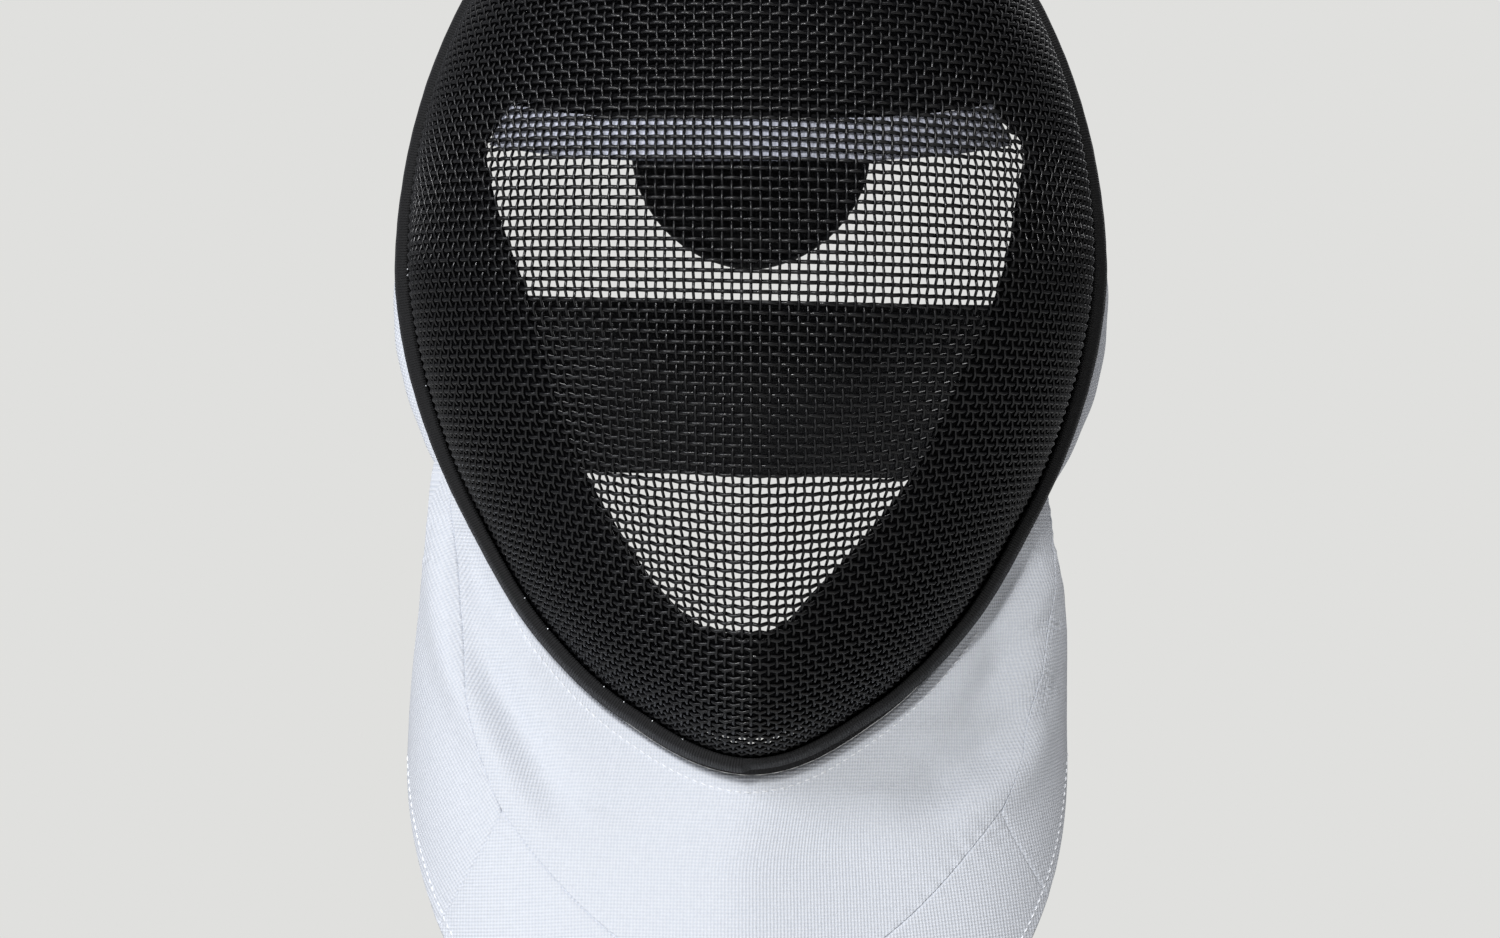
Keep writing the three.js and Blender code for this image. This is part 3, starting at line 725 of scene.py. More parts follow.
def dip_down(across):
    def past_dip(down):
        point = bib_point(across, down)
        curve = SEAM["fork_up"] - SEAM["dip"] * (1 - (point[..., 0] / SEAM["fork_out"]) ** 2)
        return curve - point[..., 2]
    return crossing_share(np.full_like(across, 0.2), np.full_like(across, 0.9), past_dip)


FORKS = [(seam_across(side, fork_down(side)), fork_down(side)) for side in (-1, 1)]
(left_fork, left_down), (right_fork, right_down) = FORKS
seam_down = np.linspace(0, 1, 240)
dip_across = np.linspace(left_fork, right_fork, 240)
SEAM_LINES = [
    bib_point(seam_across(-1, seam_down), seam_down),
    bib_point(seam_across(1, seam_down), seam_down),
    bib_point(dip_across, dip_down(dip_across)),
]
print("forks at", [(round(float(a), 3), round(float(d), 3)) for a, d in FORKS])


# %% [markdown]
# ## White bib cloth
# The bib is a heavy polyester made to stop a blade, in a plain weave. In a plain weave the
# threads show as a fine check, so two crossed bands make the bump. The real thread spacing
# is 0.85 mm; at this distance that would blur away, so it is drawn 1.15 mm apart. The cloth
# is a cool white with a dry surface, and a little sheen lifts its edges as fibre does.

# %% White cloth
def woven_cloth(name, light, shade, pitch, depth, **values):
    """A plain-woven cloth whose UV map is in metres."""
    material, tree, shader = new_material(name, **values)
    uv = add_node(tree, "ShaderNodeUVMap", uv_map="UVMap").outputs["UV"]
    bands = [add_node(tree, "ShaderNodeTexWave", {
        "Vector": uv, "Scale": wave_scale(pitch), "Distortion": 0.5, "Detail": 1.0, "Detail Scale": 0.4,
    }, bands_direction=axis).outputs["Fac"] for axis in ("X", "Y")]
    check = add_node(tree, "ShaderNodeMath", {0: bands[0], 1: bands[1]}, operation="ADD")
    slub = add_node(tree, "ShaderNodeTexNoise", {"Vector": uv, "Scale": 0.4 / pitch, "Detail": 4.0})
    height = add_node(tree, "ShaderNodeMath", {0: check.outputs[0], 1: slub.outputs["Fac"]}, operation="ADD")
    raised = add_node(tree, "ShaderNodeBump", {
        "Height": height.outputs[0], "Strength": 0.6, "Distance": depth,
    })
    tree.links.new(raised.outputs["Normal"], shader.inputs["Normal"])
    # The colour follows the bump's height: painted shade in the weave's hollows and painted light on its
    # raised threads, with random slub tone from the noise.
    weave_shade_and_slub = add_node(tree, "ShaderNodeMapRange", {
        "Value": height.outputs[0], "From Min": 0.7, "From Max": 2.1,
    })
    mix = add_node(tree, "ShaderNodeMixRGB", {
        "Fac": weave_shade_and_slub.outputs["Result"], "Color1": linear(shade), "Color2": linear(light),
    })
    tree.links.new(mix.outputs["Color"], shader.inputs["Base Color"])
    return material


white_cloth = woven_cloth(
    "white_ballistic_polyester",
    light="#dfe2e8",
    shade="#cfd4dd",
    pitch=0.00115,
    depth=0.00025,
    Roughness=0.85,
    Sheen_Weight=0.15,
    Sheen_Roughness=0.5,
    Specular_IOR_Level=0.3,
)
print("cloth", white_cloth.name)

# %% [markdown]
# ## Bib panels
# Each panel is a grid between its seams. The edges are rolled under, so that two panels meet
# in a soft groove, and stitching draws the cloth in a little every few millimetres. A few long
# folds hang from the ears, because the cloth is wider than the rim that it is sewn to. A
# cloth simulation would lose the seams, so the folds are moved in along short given curves.

# %% Relief of the bib
BIB_CLOTH = {"thickness": 2.6, "roll": 1.5, "pucker": 0.16, "pucker_pitch": 6.5, "pucker_reach": 7}
# Each fold is a line of (across, down) places, with how far it stands out and how wide it is.
FOLDS = [
    {"line": [(-0.9, 0.14), (-0.8, 0.19), (-0.69, 0.21), (-0.59, 0.22), (-0.48, 0.25), (-0.36, 0.31)],
     "out": -5.0, "width": 7},
    {"line": [(-0.93, 0.06), (-0.83, 0.1), (-0.72, 0.1), (-0.6, 0.08)], "out": -3.4, "width": 6},
    {"line": [(0.88, 0.1), (0.8, 0.09), (0.72, 0.07), (0.6, 0.08)], "out": -4.4, "width": 7},
    {"line": [(0.78, 0.22), (0.7, 0.25), (0.63, 0.26), (0.54, 0.24)], "out": -6.0, "width": 8},
    {"line": [(0.76, 0.4), (0.68, 0.375), (0.51, 0.31), (0.4, 0.28)], "out": -6.0, "width": 9},
    {"line": [(0.73, 0.31), (0.62, 0.3), (0.5, 0.27)], "out": 3.6, "width": 7},
]


# On the wearer's right the cloth flares past the rim at its upper corner, and on the left
# it bellies out lower down.
SHOULDER = {"reach": 0.12, "down": 0.04, "spread": 0.16}
BULGES = [{"across": -1.0, "down": 0.04, "out": 4.0, "width": 26},
          {"across": 1.0, "down": 0.38, "out": 4.0, "width": 32}]


def distance_to(points, line):
    """Each point's distance to the nearest of a line's points, and that point's number."""
    flat = points.reshape(-1, 3)
    nearest = np.zeros(len(flat))
    number = np.zeros(len(flat), int)
    for start in range(0, len(flat), 4000):
        part = flat[start:start + 4000]
        gaps = np.linalg.norm(part[:, None] - line[None], axis=-1)
        number[start:start + 4000] = gaps.argmin(axis=1)
        nearest[start:start + 4000] = gaps.min(axis=1)
    return nearest.reshape(points.shape[:-1]), number.reshape(points.shape[:-1])


def fold_curve(places):
    """A dense smooth line on the bib through a few places."""
    places = np.array(places)
    spread = np.linspace(0, len(places) - 1, 120)
    across, down = (np.interp(spread, np.arange(len(places)), places[:, k]) for k in (0, 1))
    window = np.ones(25) / 25
    across, down = (np.convolve(np.pad(v, 12, mode="edge"), window, "valid") for v in (across, down))
    return bib_point(across, down)


def bib_relief(points):
    """How far the cloth stands off its plain surface, before the edges are rolled."""
    relief = np.zeros(points.shape[:-1])
    for line in SEAM_LINES:
        gap, number = distance_to(points, line)
        step = np.linalg.norm(np.diff(line, axis=0), axis=-1).mean()
        wave = np.sin(2 * math.pi * number * step / BIB_CLOTH["pucker_pitch"] + 0.02 * number)
        relief += BIB_CLOTH["pucker"] * wave * np.exp(-gap / BIB_CLOTH["pucker_reach"])
    for fold in FOLDS:
        line = fold_curve(fold["line"])
        gap, number = distance_to(points, line)
        above = np.sign((points - line[number])[..., 2])
        fade = np.sin(math.pi * np.clip((number + 6) / 132, 0, 1)) ** 0.7
        ridge = hill(gap * above + 1.5 * fold["width"], 1.1 * fold["width"])
        relief += fold["out"] * fade * (hill(gap, fold["width"]) - 0.6 * ridge)
    for bulge in BULGES:
        middle = bib_point(np.array(bulge["across"]), np.array(bulge["down"]))
        relief += bulge["out"] * hill(np.linalg.norm(points - middle, axis=-1), bulge["width"])
    x, z = points[..., 0], points[..., 2]
    relief += 0.5 * np.sin(x / 23 + 1.3 * np.sin(z / 31)) * np.sin(z / 27 + 0.8)
    return relief


# %% Bib panels
weave_width = np.linspace(-1.05, 1.05, 400)
weave_line = bib_point(weave_width, np.full(400, 0.6))[:, :2]
weave_run = np.concatenate([[0.0], np.cumsum(np.linalg.norm(np.diff(weave_line, axis=0), axis=-1))])


def clustered(count):
    """Shares from 0 to 1 that crowd towards both ends, for rolled edges."""
    share = np.linspace(0, 1, count)
    return share - 0.13 * np.sin(2 * math.pi * share)


def edge_distance(grid):
    """Each grid point's distance to the nearest edge of the grid."""
    nearest = np.full(grid.shape[:-1], 1e9)
    for axis in (0, 1):
        steps = np.linalg.norm(np.diff(grid, axis=axis), axis=-1)
        pad = [(1, 0), (0, 0)] if axis == 0 else [(0, 0), (1, 0)]
        run = np.cumsum(np.pad(steps, pad), axis=axis)
        total = run[-1:] if axis == 0 else run[:, -1:]
        nearest = np.minimum(nearest, np.minimum(run, total - run))
    return nearest


def rolled(gap, radius):
    """0 at a cut edge and 1 from one radius inside it, as a quarter circle."""
    share = np.clip(gap / radius, 0, 1)
    return np.sqrt(1 - (1 - share) ** 2)


def slab_faces(rows, columns):
    """The quads of two grids, one behind the other, joined along their edges."""
    count = rows * columns
    front = grid_faces(rows, columns)
    back = grid_faces(rows, columns, first=count)[:, ::-1]
    number = np.arange(count).reshape(rows, columns)
    edge = np.concatenate([number[0, :-1], number[:-1, -1], number[-1, :0:-1], number[:0:-1, 0]])
    after = np.roll(edge, -1)
    sides = np.stack([after, edge, edge + count, after + count], axis=-1)
    return np.concatenate([front, back, sides])


def slab_piece(name, outer, inner, material, uv):
    rows, columns = outer.shape[:2]
    points = np.concatenate([outer.reshape(-1, 3), inner.reshape(-1, 3)])
    uv = np.concatenate([uv.reshape(-1, 2), uv.reshape(-1, 2)])
    piece = make_piece(name, points, slab_faces(rows, columns), material, uv)
    print(name, "grid", rows, "x", columns)
    return piece


def bib_panel(name, node, across, down, grain):
    """One panel from its grid of shares. Grain is the turn of its weave."""
    plain, normal = bib_point(across, down), bib_normal(across, down)
    roll = np.maximum(0.45, rolled(edge_distance(plain), BIB_CLOTH["roll"]))
    relief = bib_relief(plain)
    half = BIB_CLOTH["thickness"] / 2
    middle = plain + normal * (relief - half)[..., None]
    outer = middle + normal * (half * roll)[..., None]
    inner = middle - normal * (half * roll)[..., None]
    run = np.interp(across, weave_width, weave_run)
    turned = [run * math.cos(grain) + plain[..., 2] * math.sin(grain),
              plain[..., 2] * math.cos(grain) - run * math.sin(grain)]
    piece = slab_piece(name, outer, inner, white_cloth, np.stack(turned, axis=-1) / 1000)
    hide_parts(node)


def between_seams(share, left_heights, right_heights):
    left, right = seam_across(-1, left_heights), seam_across(1, right_heights)
    return left + (right - left) * share


SEAM_LAP = 0.003  # the share by which one panel's edge is tucked under the next
i, j = np.meshgrid(clustered(110), clustered(80), indexing="ij")
bottom = dip_down(left_fork + (right_fork - left_fork) * i)
bib_panel(
    "bib_front", "bib_front_panel", between_seams(i, left_down * j, right_down * j), bottom * j, 0.0)
i, j = np.meshgrid(clustered(110), clustered(50), indexing="ij")
top = dip_down(left_fork + (right_fork - left_fork) * i) - SEAM_LAP
lower = [down + (1 - down) * j for down in (left_down, right_down)]
bib_panel(
    "bib_apron_cloth", "bib_apron", between_seams(i, *lower), top + (1 - top) * j, 4 * DEGREE)
for side, name, grain in ((1, "left", 8 * DEGREE), (-1, "right", 40 * DEGREE)):
    i, j = np.meshgrid(clustered(36), clustered(90), indexing="ij")
    inside = np.abs(seam_across(side, j)) - SEAM_LAP
    outside = 1 + SHOULDER["reach"] * hill(j - SHOULDER["down"], SHOULDER["spread"]) * (side < 0)
    bib_panel(
        f"bib_{name}_side", f"bib_{name}_panel", side * (inside + (outside - inside) * i), j, grain)


# %% [markdown]
# ## Stitches
# A lockstitch shows as a row of short slanting threads, each sunk at both ends. A bump line
# looks printed from close by, so each stitch is a small bent bead of thread. All the stitches
# of one row are one object, because they are one thread.

# %% Stitch rows
sewing_thread = new_material(
    "white_polyester_thread", Base_Color=linear("#f4f6fa"), Roughness=0.6, Sheen_Weight=0.3,
)[0]


def resample(line, pitch):
    """Points at an even pitch along a line, and the headings there."""
    run = np.concatenate([[0.0], np.cumsum(np.linalg.norm(np.diff(line, axis=0), axis=-1))])
    at = np.arange(pitch / 2, run[-1], pitch)
    points = np.stack([np.interp(at, run, line[:, k]) for k in range(3)], axis=-1)
    ahead = np.stack([np.interp(at + 0.5, run, line[:, k]) for k in range(3)], axis=-1)
    heading = ahead - np.stack([np.interp(at - 0.5, run, line[:, k]) for k in range(3)], axis=-1)
    return points, heading / np.linalg.norm(heading, axis=-1, keepdims=True)


def stitch_row(name, line, normal_of, material, pitch=3.0, length=2.1, radius=0.3, slant=0.12):
    """A row of thread beads along a line. normal_of gives the cloth's outward direction."""
    points, heading = resample(line, pitch)
    normal = normal_of(points)
    side = np.cross(heading, normal)
    stations = np.array([-0.5, -0.38, 0.0, 0.38, 0.5])
    sizes = np.array([0.25, 0.8, 1.0, 0.8, 0.25])
    rises = np.array([-0.25, 0.0, 0.18, 0.0, -0.25])
    turn = np.arange(6) * math.pi / 3
    rings = []
    for station, size, rise in zip(stations, sizes, rises):
        centre = points + heading * station * length + normal * rise + side * station * slant * length
        ring = [centre + radius * size * (math.cos(t) * normal + math.sin(t) * side) for t in turn]
        rings.append(np.stack(ring, axis=1))
    beads = np.stack(rings, axis=1)
    size = len(stations) * 6
    quads = np.concatenate([grid_faces(5, 6, around=True, first=k * size) for k in range(len(beads))])
    caps = []
    for k in range(len(beads)):
        caps.append(tuple(range(k * size + 5, k * size - 1, -1)))
        caps.append(tuple(range(k * size + 24, k * size + 30)))
    piece = make_piece(name, beads.reshape(-1, 3), quads, material, caps=caps)
    print(name, len(beads), "stitches")
    return piece


# %% Bib stitches
def bib_line(across, down):
    """A line on the relieved cloth, so that stitches follow its folds."""
    plain, normal = bib_point(across, down), bib_normal(across, down)
    return plain + normal * bib_relief(plain)[..., None]


def on_bib(across, down):
    def normal_of(points):
        line, normal = bib_line(across, down), bib_normal(across, down)
        return normal[distance_to(points, line)[1]]
    return bib_line(across, down), normal_of


def hang_length(across):
    """How far the bib hangs from its top edge to its hem, at each share across."""
    return np.linalg.norm(bib_point(across, 0 * across + 1) - bib_point(across, 0 * across), axis=-1)


# How far each row of stitches runs from the edge that it holds.
ROW_INSET = {"top": 5.6, "hem": 7}
row_across = np.linspace(-0.66, 0.6, 500)
row_down = ROW_INSET["top"] / hang_length(row_across)
top_row = stitch_row("bib_top_stitches", *on_bib(row_across, row_down), sewing_thread)
hem_across = np.linspace(-0.97, 0.97, 900)
hem_down = 1 - ROW_INSET["hem"] / hang_length(hem_across)
hem_row = stitch_row("bib_hem_stitches", *on_bib(hem_across, hem_down), sewing_thread)


# %% [markdown]
# ## The black tape under the chin
# A ribbed tape closes the step between the piping and the bib. It is widest at the chin and
# runs out at the jaw. Tape like this is woven with a cord in each rib, so its ribs are deep
# and even, unlike the piping's fine cloth.

# %% Tape
tape_cloth, tree, shader = new_material(
    "black_grosgrain_tape", Base_Color=linear("#0f0e10"), Roughness=0.7, Sheen_Weight=0.2,
    Sheen_Roughness=0.4, Sheen_Tint=linear("#8a8a98"),
)
cloth_uv = add_node(tree, "ShaderNodeUVMap", uv_map="UVMap").outputs["UV"]
# Grosgrain has a rib about every 1.2 mm, which is just wide enough to show.
ribs = add_node(tree, "ShaderNodeTexWave", {
    "Vector": cloth_uv, "Scale": wave_scale(0.0012), "Distortion": 0.6, "Detail": 1.0,
}, bands_direction="X")
raised = add_node(tree, "ShaderNodeBump", {
    "Height": ribs.outputs["Fac"], "Strength": 0.8, "Distance": 0.0004,
})
tree.links.new(raised.outputs["Normal"], shader.inputs["Normal"])
TAPE = {"thickness": 1.2, "along": 3.7, "out": 0.2, "gap": 0.1, "ends": 54 * DEGREE, "bow": 0.5}
tape_angles = np.linspace(-TAPE["ends"], TAPE["ends"], 200) - RIGHT_ANGLE
end_along, end_out = bib_top_place(tape_angles)
step = np.stack([end_along - TAPE["along"], end_out - TAPE["out"]], axis=-1)
length = np.linalg.norm(step, axis=-1, keepdims=True)
slant = step / length
way = np.linspace(0, 1, 9)[None, :, None]
bow = TAPE["bow"] * np.sin(math.pi * way)
lift = np.stack([-slant[:, 1], slant[:, 0]], axis=-1)[:, None]
tape_places = np.array([TAPE["along"], TAPE["out"]]) + slant[:, None] * way * (length - TAPE["gap"])[:, None]
outer = past_rim(*np.broadcast_arrays(tape_angles[:, None], *np.moveaxis(tape_places + lift * bow, -1, 0)))
under = tape_places + lift * (bow - TAPE["thickness"])
inner = past_rim(*np.broadcast_arrays(tape_angles[:, None], *np.moveaxis(under, -1, 0)))
uv = np.stack(np.meshgrid(loop_length(outer, 0), loop_length(outer, 1), indexing="ij"), axis=-1) / 1000
tape = slab_piece("chin_tape", outer, inner, tape_cloth, uv)
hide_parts("bib_top_tape")


# %% [markdown]
# ## Ear tabs
# The bib's cloth runs up behind the ears as a strip on each side, folded double and sewn
# under the piping. It stands a little away from the cage, and the fold at its upper end is
# open, which shows as a thin dark slit. The strip is drawn in the same two rim numbers.

# %% Ear tabs
TAB = {"top": 5.6 * DEGREE, "bottom": -40 * DEGREE, "back": 22, "thickness": 2.2}


def tab_section(share, side):
    """Along and out of the strip's outer face, for a share from its top to its lower end."""
    way = np.linspace(0, 1, 26)[None]
    rise = np.sin(math.pi * np.clip(0.04 + 0.92 * share, 0, 1)) ** 0.6
    top_end = 1 - smooth_step(share, 0, 0.05)
    puff = np.maximum(rise, 0.62 * (1 - smooth_step(share, 0.05, 0.4)))[:, None]
    ease = np.sin(RIGHT_ANGLE * np.minimum(1, way * 2.2))
    wave = 0.25 * np.sin(share * 23 + side) * np.sin(share * 9 + 2 * side)
    out = 0.9 + (7.3 * puff + wave[:, None]) * ease
    reach = (TAB["back"] - BIB_TOP["along"]) * (0.35 + 0.65 * puff)
    along = BIB_TOP["along"] + reach * way * (1 - 0.04 * top_end[:, None])
    slit = hill(share - 0.19, 0.1)[:, None] * hill(way - 0.5, 0.035)
    return along, out - 1.6 * slit


for side, name in ((1, "left"), (-1, "right")):
    share = clustered(120)
    angles = TAB["top"] + (TAB["bottom"] - TAB["top"]) * share
    angles = angles if side > 0 else math.pi - angles
    along, out = tab_section(share, side)
    plain = by_rim(angles, along, out)
    roll = rolled(edge_distance(plain), 1.1)
    outer = by_rim(angles, along, out - TAB["thickness"] / 2 * (1 - roll))
    inner = by_rim(angles, along, out - TAB["thickness"] / 2 * (1 + roll))
    uv = np.stack(np.meshgrid(loop_length(plain, 0), loop_length(plain, 1), indexing="ij"), axis=-1)
    turn = np.array([[math.cos(0.6), -math.sin(0.6)], [math.sin(0.6), math.cos(0.6)]])
    tab = slab_piece(f"{name}_ear_tab", outer, inner, white_cloth, uv @ turn / 1000)
    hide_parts(f"{name}_tab")


# %% [markdown]
# ## The padded lining
# Inside the cage lies a pad of foam in black napped cloth, a finger thick in the middle and
# thin at its edges, open in front of the face. A Solidify modifier would give it one even
# thickness. Instead its two faces are swept round the cage, and the cloth simulation then
# puffs them up from inside, as foam does. The sweep's quads are already even, about 5 mm
# across, so it needs no voxel remesh, which would eat the thin edges.

# %% Napped cloth
napped_cloth, tree, shader = new_material(
    "black_napped_polyester_lining",
    Base_Color=linear("#0e0e10"),
    Roughness=0.95,
    Specular_IOR_Level=0.2,
    Sheen_Weight=0.12,
    Sheen_Roughness=0.6,
    Sheen_Tint=linear("#6e6e78"),
)
# The nap lies in tufts about 1 mm across, and is pressed into patches about 15 mm across.
place = add_node(tree, "ShaderNodeTexCoord").outputs["Object"]
nap = add_node(tree, "ShaderNodeTexNoise", {"Vector": place, "Scale": 900.0, "Detail": 3.0})
pressed = add_node(tree, "ShaderNodeTexNoise", {"Vector": place, "Scale": 65.0, "Detail": 2.0})
rough = add_node(tree, "ShaderNodeMath", {0: nap.outputs["Fac"], 1: pressed.outputs["Fac"]}, operation="ADD")
raised = add_node(tree, "ShaderNodeBump", {"Height": rough.outputs[0], "Strength": 0.7, "Distance": 0.0006})
tree.links.new(raised.outputs["Normal"], shader.inputs["Normal"])

# %% The opening in front of the face
LINING = {"stand_off": 2.9, "middle": 8, "edge": 2.6, "rear_stop": 8.4}
# From the brow down: the height of each place on the outline, and its two sides.
FACE_OPENING = [
    {"up": 41.3, "right": -40, "left": 40},
    {"up": 47.3, "right": -77, "left": 77},
    {"up": 43, "right": -83, "left": 84},
    {"up": 36.5, "right": -87.5, "left": 90.5},
    {"up": 20, "right": -84.5, "left": 87.5},
    {"up": 5, "right": -79.5, "left": 85},
    {"up": -15, "right": -72, "left": 79.5},
    {"up": -45, "right": -64, "left": 66},
    {"up": -70, "right": -56, "left": 55},
    {"up": -90, "right": -44.5, "left": 40},
    {"up": -108, "right": -32, "left": 23},
    {"up": -120, "right": -18, "left": 11},
]


def through(corners, steps, closed=False):
    """A smooth curve that doesn't overshoot where its corners are unevenly spaced."""
    corners = np.asarray(corners, float)
    if closed:
        corners = np.concatenate([corners[-1:], corners, corners[:2]])
    else:
        corners = np.concatenate([2 * corners[:1] - corners[1:2], corners, 2 * corners[-1:] - corners[-2:-1]])
    share = (np.arange(steps) / steps)[:, None]
    parts = []
    for a, b, c, d in zip(corners, corners[1:], corners[2:], corners[3:]):
        first, middle, last = (math.sqrt(np.linalg.norm(gap)) for gap in (b - a, c - b, d - c))
        leave = ((b - a) / first - (c - a) / (first + middle) + (c - b) / middle) * middle
        arrive = ((c - b) / middle - (d - b) / (middle + last) + (d - c) / last) * middle
        bend = 3 * (c - b) - 2 * leave - arrive
        parts.append(b + share * (leave + share * (bend + share * (2 * (b - c) + leave + arrive))))
    return np.concatenate(parts if closed else parts + [corners[-2:-1]])


outline = [(row["left"], row["up"]) for row in FACE_OPENING]
outline += [(row["right"], row["up"]) for row in reversed(FACE_OPENING)]
outline = through(outline, 12, closed=True)
outline_angle = np.arctan2(outline[:, 1], outline[:, 0])
outline_radius = np.linalg.norm(outline, axis=-1)


def travel_at(angle, radius):
    """The travel where the cage, seen from the front, is this far from its nose point."""
    def past(travel):
        point = cage_point(angle, travel)
        return np.hypot(point[..., 0], point[..., 2]) - radius
    return crossing_share(np.zeros_like(angle), np.ones_like(angle), past)


print("opening is", round(float(np.ptp(outline[:, 0])), 1), "mm wide")


# %% Puffing by simulation
def piece_points(piece):
    points = np.zeros(len(piece.data.vertices) * 3)
    piece.data.vertices.foreach_get("co", points)
    return points.reshape(-1, 3)


def puff(piece, pressure, cap, give=1.0):
    """Swells a closed piece with the cloth simulation. Cap is the most a point moves, in mm,
    and give is the share of it that each point may take, from 0 at a sewn edge."""
    before = piece_points(piece)
    cloth = piece.modifiers.new("puff", "CLOTH")
    cloth.settings.use_pressure = True
    cloth.settings.uniform_pressure_force = pressure
    cloth.settings.effector_weights.gravity = 0
    cloth.point_cache.frame_start = 1
    cloth.point_cache.frame_end = 20
    for number in range(1, 21):
        bpy.context.scene.frame_set(number)
    swollen = piece.evaluated_get(bpy.context.evaluated_depsgraph_get()).data
    after = np.zeros(before.size)
    swollen.vertices.foreach_get("co", after)
    piece.modifiers.remove(cloth)
    bpy.context.scene.frame_set(1)
    move = after.reshape(-1, 3) - before
    length = np.linalg.norm(move, axis=-1, keepdims=True)
    move *= give * np.minimum(1, cap / 1000 / np.maximum(length, 1e-9))
    piece.data.vertices.foreach_set("co", (before + move).ravel())
    piece.data.update()
    print(piece.name, "swelled by up to", round(float(length.max()) * 1000, 1), "mm before the cap")


def finish_pad(piece, points):
    """Sets a pad's final places, in millimetres, and smooths it by one subdivision."""
    piece.data.vertices.foreach_set("co", placed(points).ravel())
    piece.data.update()
    smooth = piece.modifiers.new("smooth", "SUBSURF")
    smooth.levels = 1
    smooth.render_levels = 1


# %% Lining
lining_angles = np.arange(180) / 180 * 2 * math.pi - RIGHT_ANGLE
start = travel_at(lining_angles, np.interp(lining_angles, outline_angle, outline_radius, period=2 * math.pi))
rim = rim_travel(lining_angles)
last_step = np.linalg.norm(cage_point(lining_angles, rim) - cage_point(lining_angles, rim - 0.05), axis=-1)
end = rim - 0.05 * LINING["rear_stop"] / last_step
share = clustered(18)
travel = start[:, None] + (end - start)[:, None] * share
wide_angles = lining_angles[:, None] + 0 * travel
normal = cage_normal(wide_angles, travel)
depth = LINING["edge"] + (LINING["middle"] - LINING["edge"]) * np.sqrt(np.sin(math.pi * share))
outer = cage_point(wide_angles, travel) - normal * LINING["stand_off"]
inner = outer - normal * depth[None, :, None]
loops = np.concatenate([outer, inner[:, ::-1]], axis=1)
quads = grid_faces(loops.shape[0], loops.shape[1], around=True, ring=True)
lining = make_piece("lining", loops.reshape(-1, 3), quads, napped_cloth)
sewn_edges = np.tile(smooth_step(np.concatenate([share, share[::-1]]), 0, 0.25), len(loops))[:, None]
puff(lining, pressure=4.0, cap=5.0, give=sewn_edges)

# The lining is sewn flat in a channel beside the face opening and along four darts.
DARTS = [35 * DEGREE, 145 * DEGREE, -38 * DEGREE, -142 * DEGREE]
sewn = 1.6 * hill(share - 0.17, 0.05)[None] + np.zeros_like(travel)
for dart in DARTS:
    off_dart = np.abs((wide_angles - dart + math.pi) % (2 * math.pi) - math.pi)
    sewn = np.maximum(sewn, 1.6 * hill(off_dart, 0.03))
pulled = np.concatenate([0 * sewn, sewn[:, ::-1]], axis=1).reshape(-1, 1)
outward_way = np.concatenate([normal, normal[:, ::-1]], axis=1).reshape(-1, 3)
points = piece_points(lining) * 1000 - NOSE + outward_way * pulled
slope = dome_slope(points)
steep = np.linalg.norm(slope, axis=-1)
too_near = np.maximum(0, off_dome(points) / steep + LINING["stand_off"] - 0.1)
finish_pad(lining, points - slope * (too_near / steep)[:, None])
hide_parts("lining_pad")


# %% [markdown]
# ## The forehead band
# A pale tape is sewn along the top of the face opening, so that it shows through the wire as
# one light stripe. The tape is white cloth; the blue-grey of its colours is painted shade, for the
# shade it lies in behind the wire. It lies flat, so two thin faces swept along the cage are enough
# for it. Its upper edge meets the lining's edge, and the rest lies across the opening.

# %% Forehead band
BROW = {"half_width": 84.5, "end_slant": 6.5, "lower": 28.0, "lower_rise": 7.5, "upper": 41.6,
        "upper_rise": 7, "stand_off": 2.3, "thickness": 1.2}
# The tape is white: these colours, darker and bluer than the bib's, are painted shade.
brow_cloth = woven_cloth(
    "white_cotton_twill_tape_painted_shade",
    light="#d6d9e6",
    shade="#bcc0d0",
    pitch=0.0013,
    depth=0.0002,
    Roughness=0.8,
    Sheen_Weight=0.1,
)
across, up = np.meshgrid(np.linspace(-1, 1, 120), np.linspace(0, 1, 10), indexing="ij")
bend = np.abs(across) ** 3
lower = BROW["lower"] + BROW["lower_rise"] * bend
upper = BROW["upper"] + BROW["upper_rise"] * bend
x = (BROW["half_width"] - BROW["end_slant"] * up) * across
z = lower + (upper - lower) * up
angle = np.arctan2(z, x)
travel = travel_at(angle, np.hypot(x, z))
normal = cage_normal(angle, travel)
plain = cage_point(angle, travel) - normal * (BROW["stand_off"] + BROW["thickness"] / 2)
half = BROW["thickness"] / 2 * rolled(edge_distance(plain), 0.6)
half = (half + 0.12 * np.sin(x / 2.1 + 0.4 * np.sin(x / 17)) * hill(up - 0.5, 0.5))[..., None]
uv = np.stack(np.meshgrid(loop_length(plain, 0), loop_length(plain, 1), indexing="ij"), axis=-1) / 1000
brow = slab_piece("forehead_band_cloth", plain + normal * half, plain - normal * half, brow_cloth, uv)
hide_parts("forehead_band")


# %% [markdown]
# ## The back strap
# A wide ribbed elastic joins the two sides behind the head. Its ribs run along it, and its
# edges are woven tighter than its middle. A bump alone would leave its outline flat, so
# each rib is a real ridge, and only the fine knit between the ribs is bump.

# %% Strap elastic
elastic, tree, shader = new_material(
    "black_knitted_elastic",
    Base_Color=linear("#121215"),
    Roughness=0.75,
    Sheen_Weight=0.2,
    Sheen_Roughness=0.4,
    Sheen_Tint=linear("#7c7c88"),
)
cloth_uv = add_node(tree, "ShaderNodeUVMap", uv_map="UVMap").outputs["UV"]
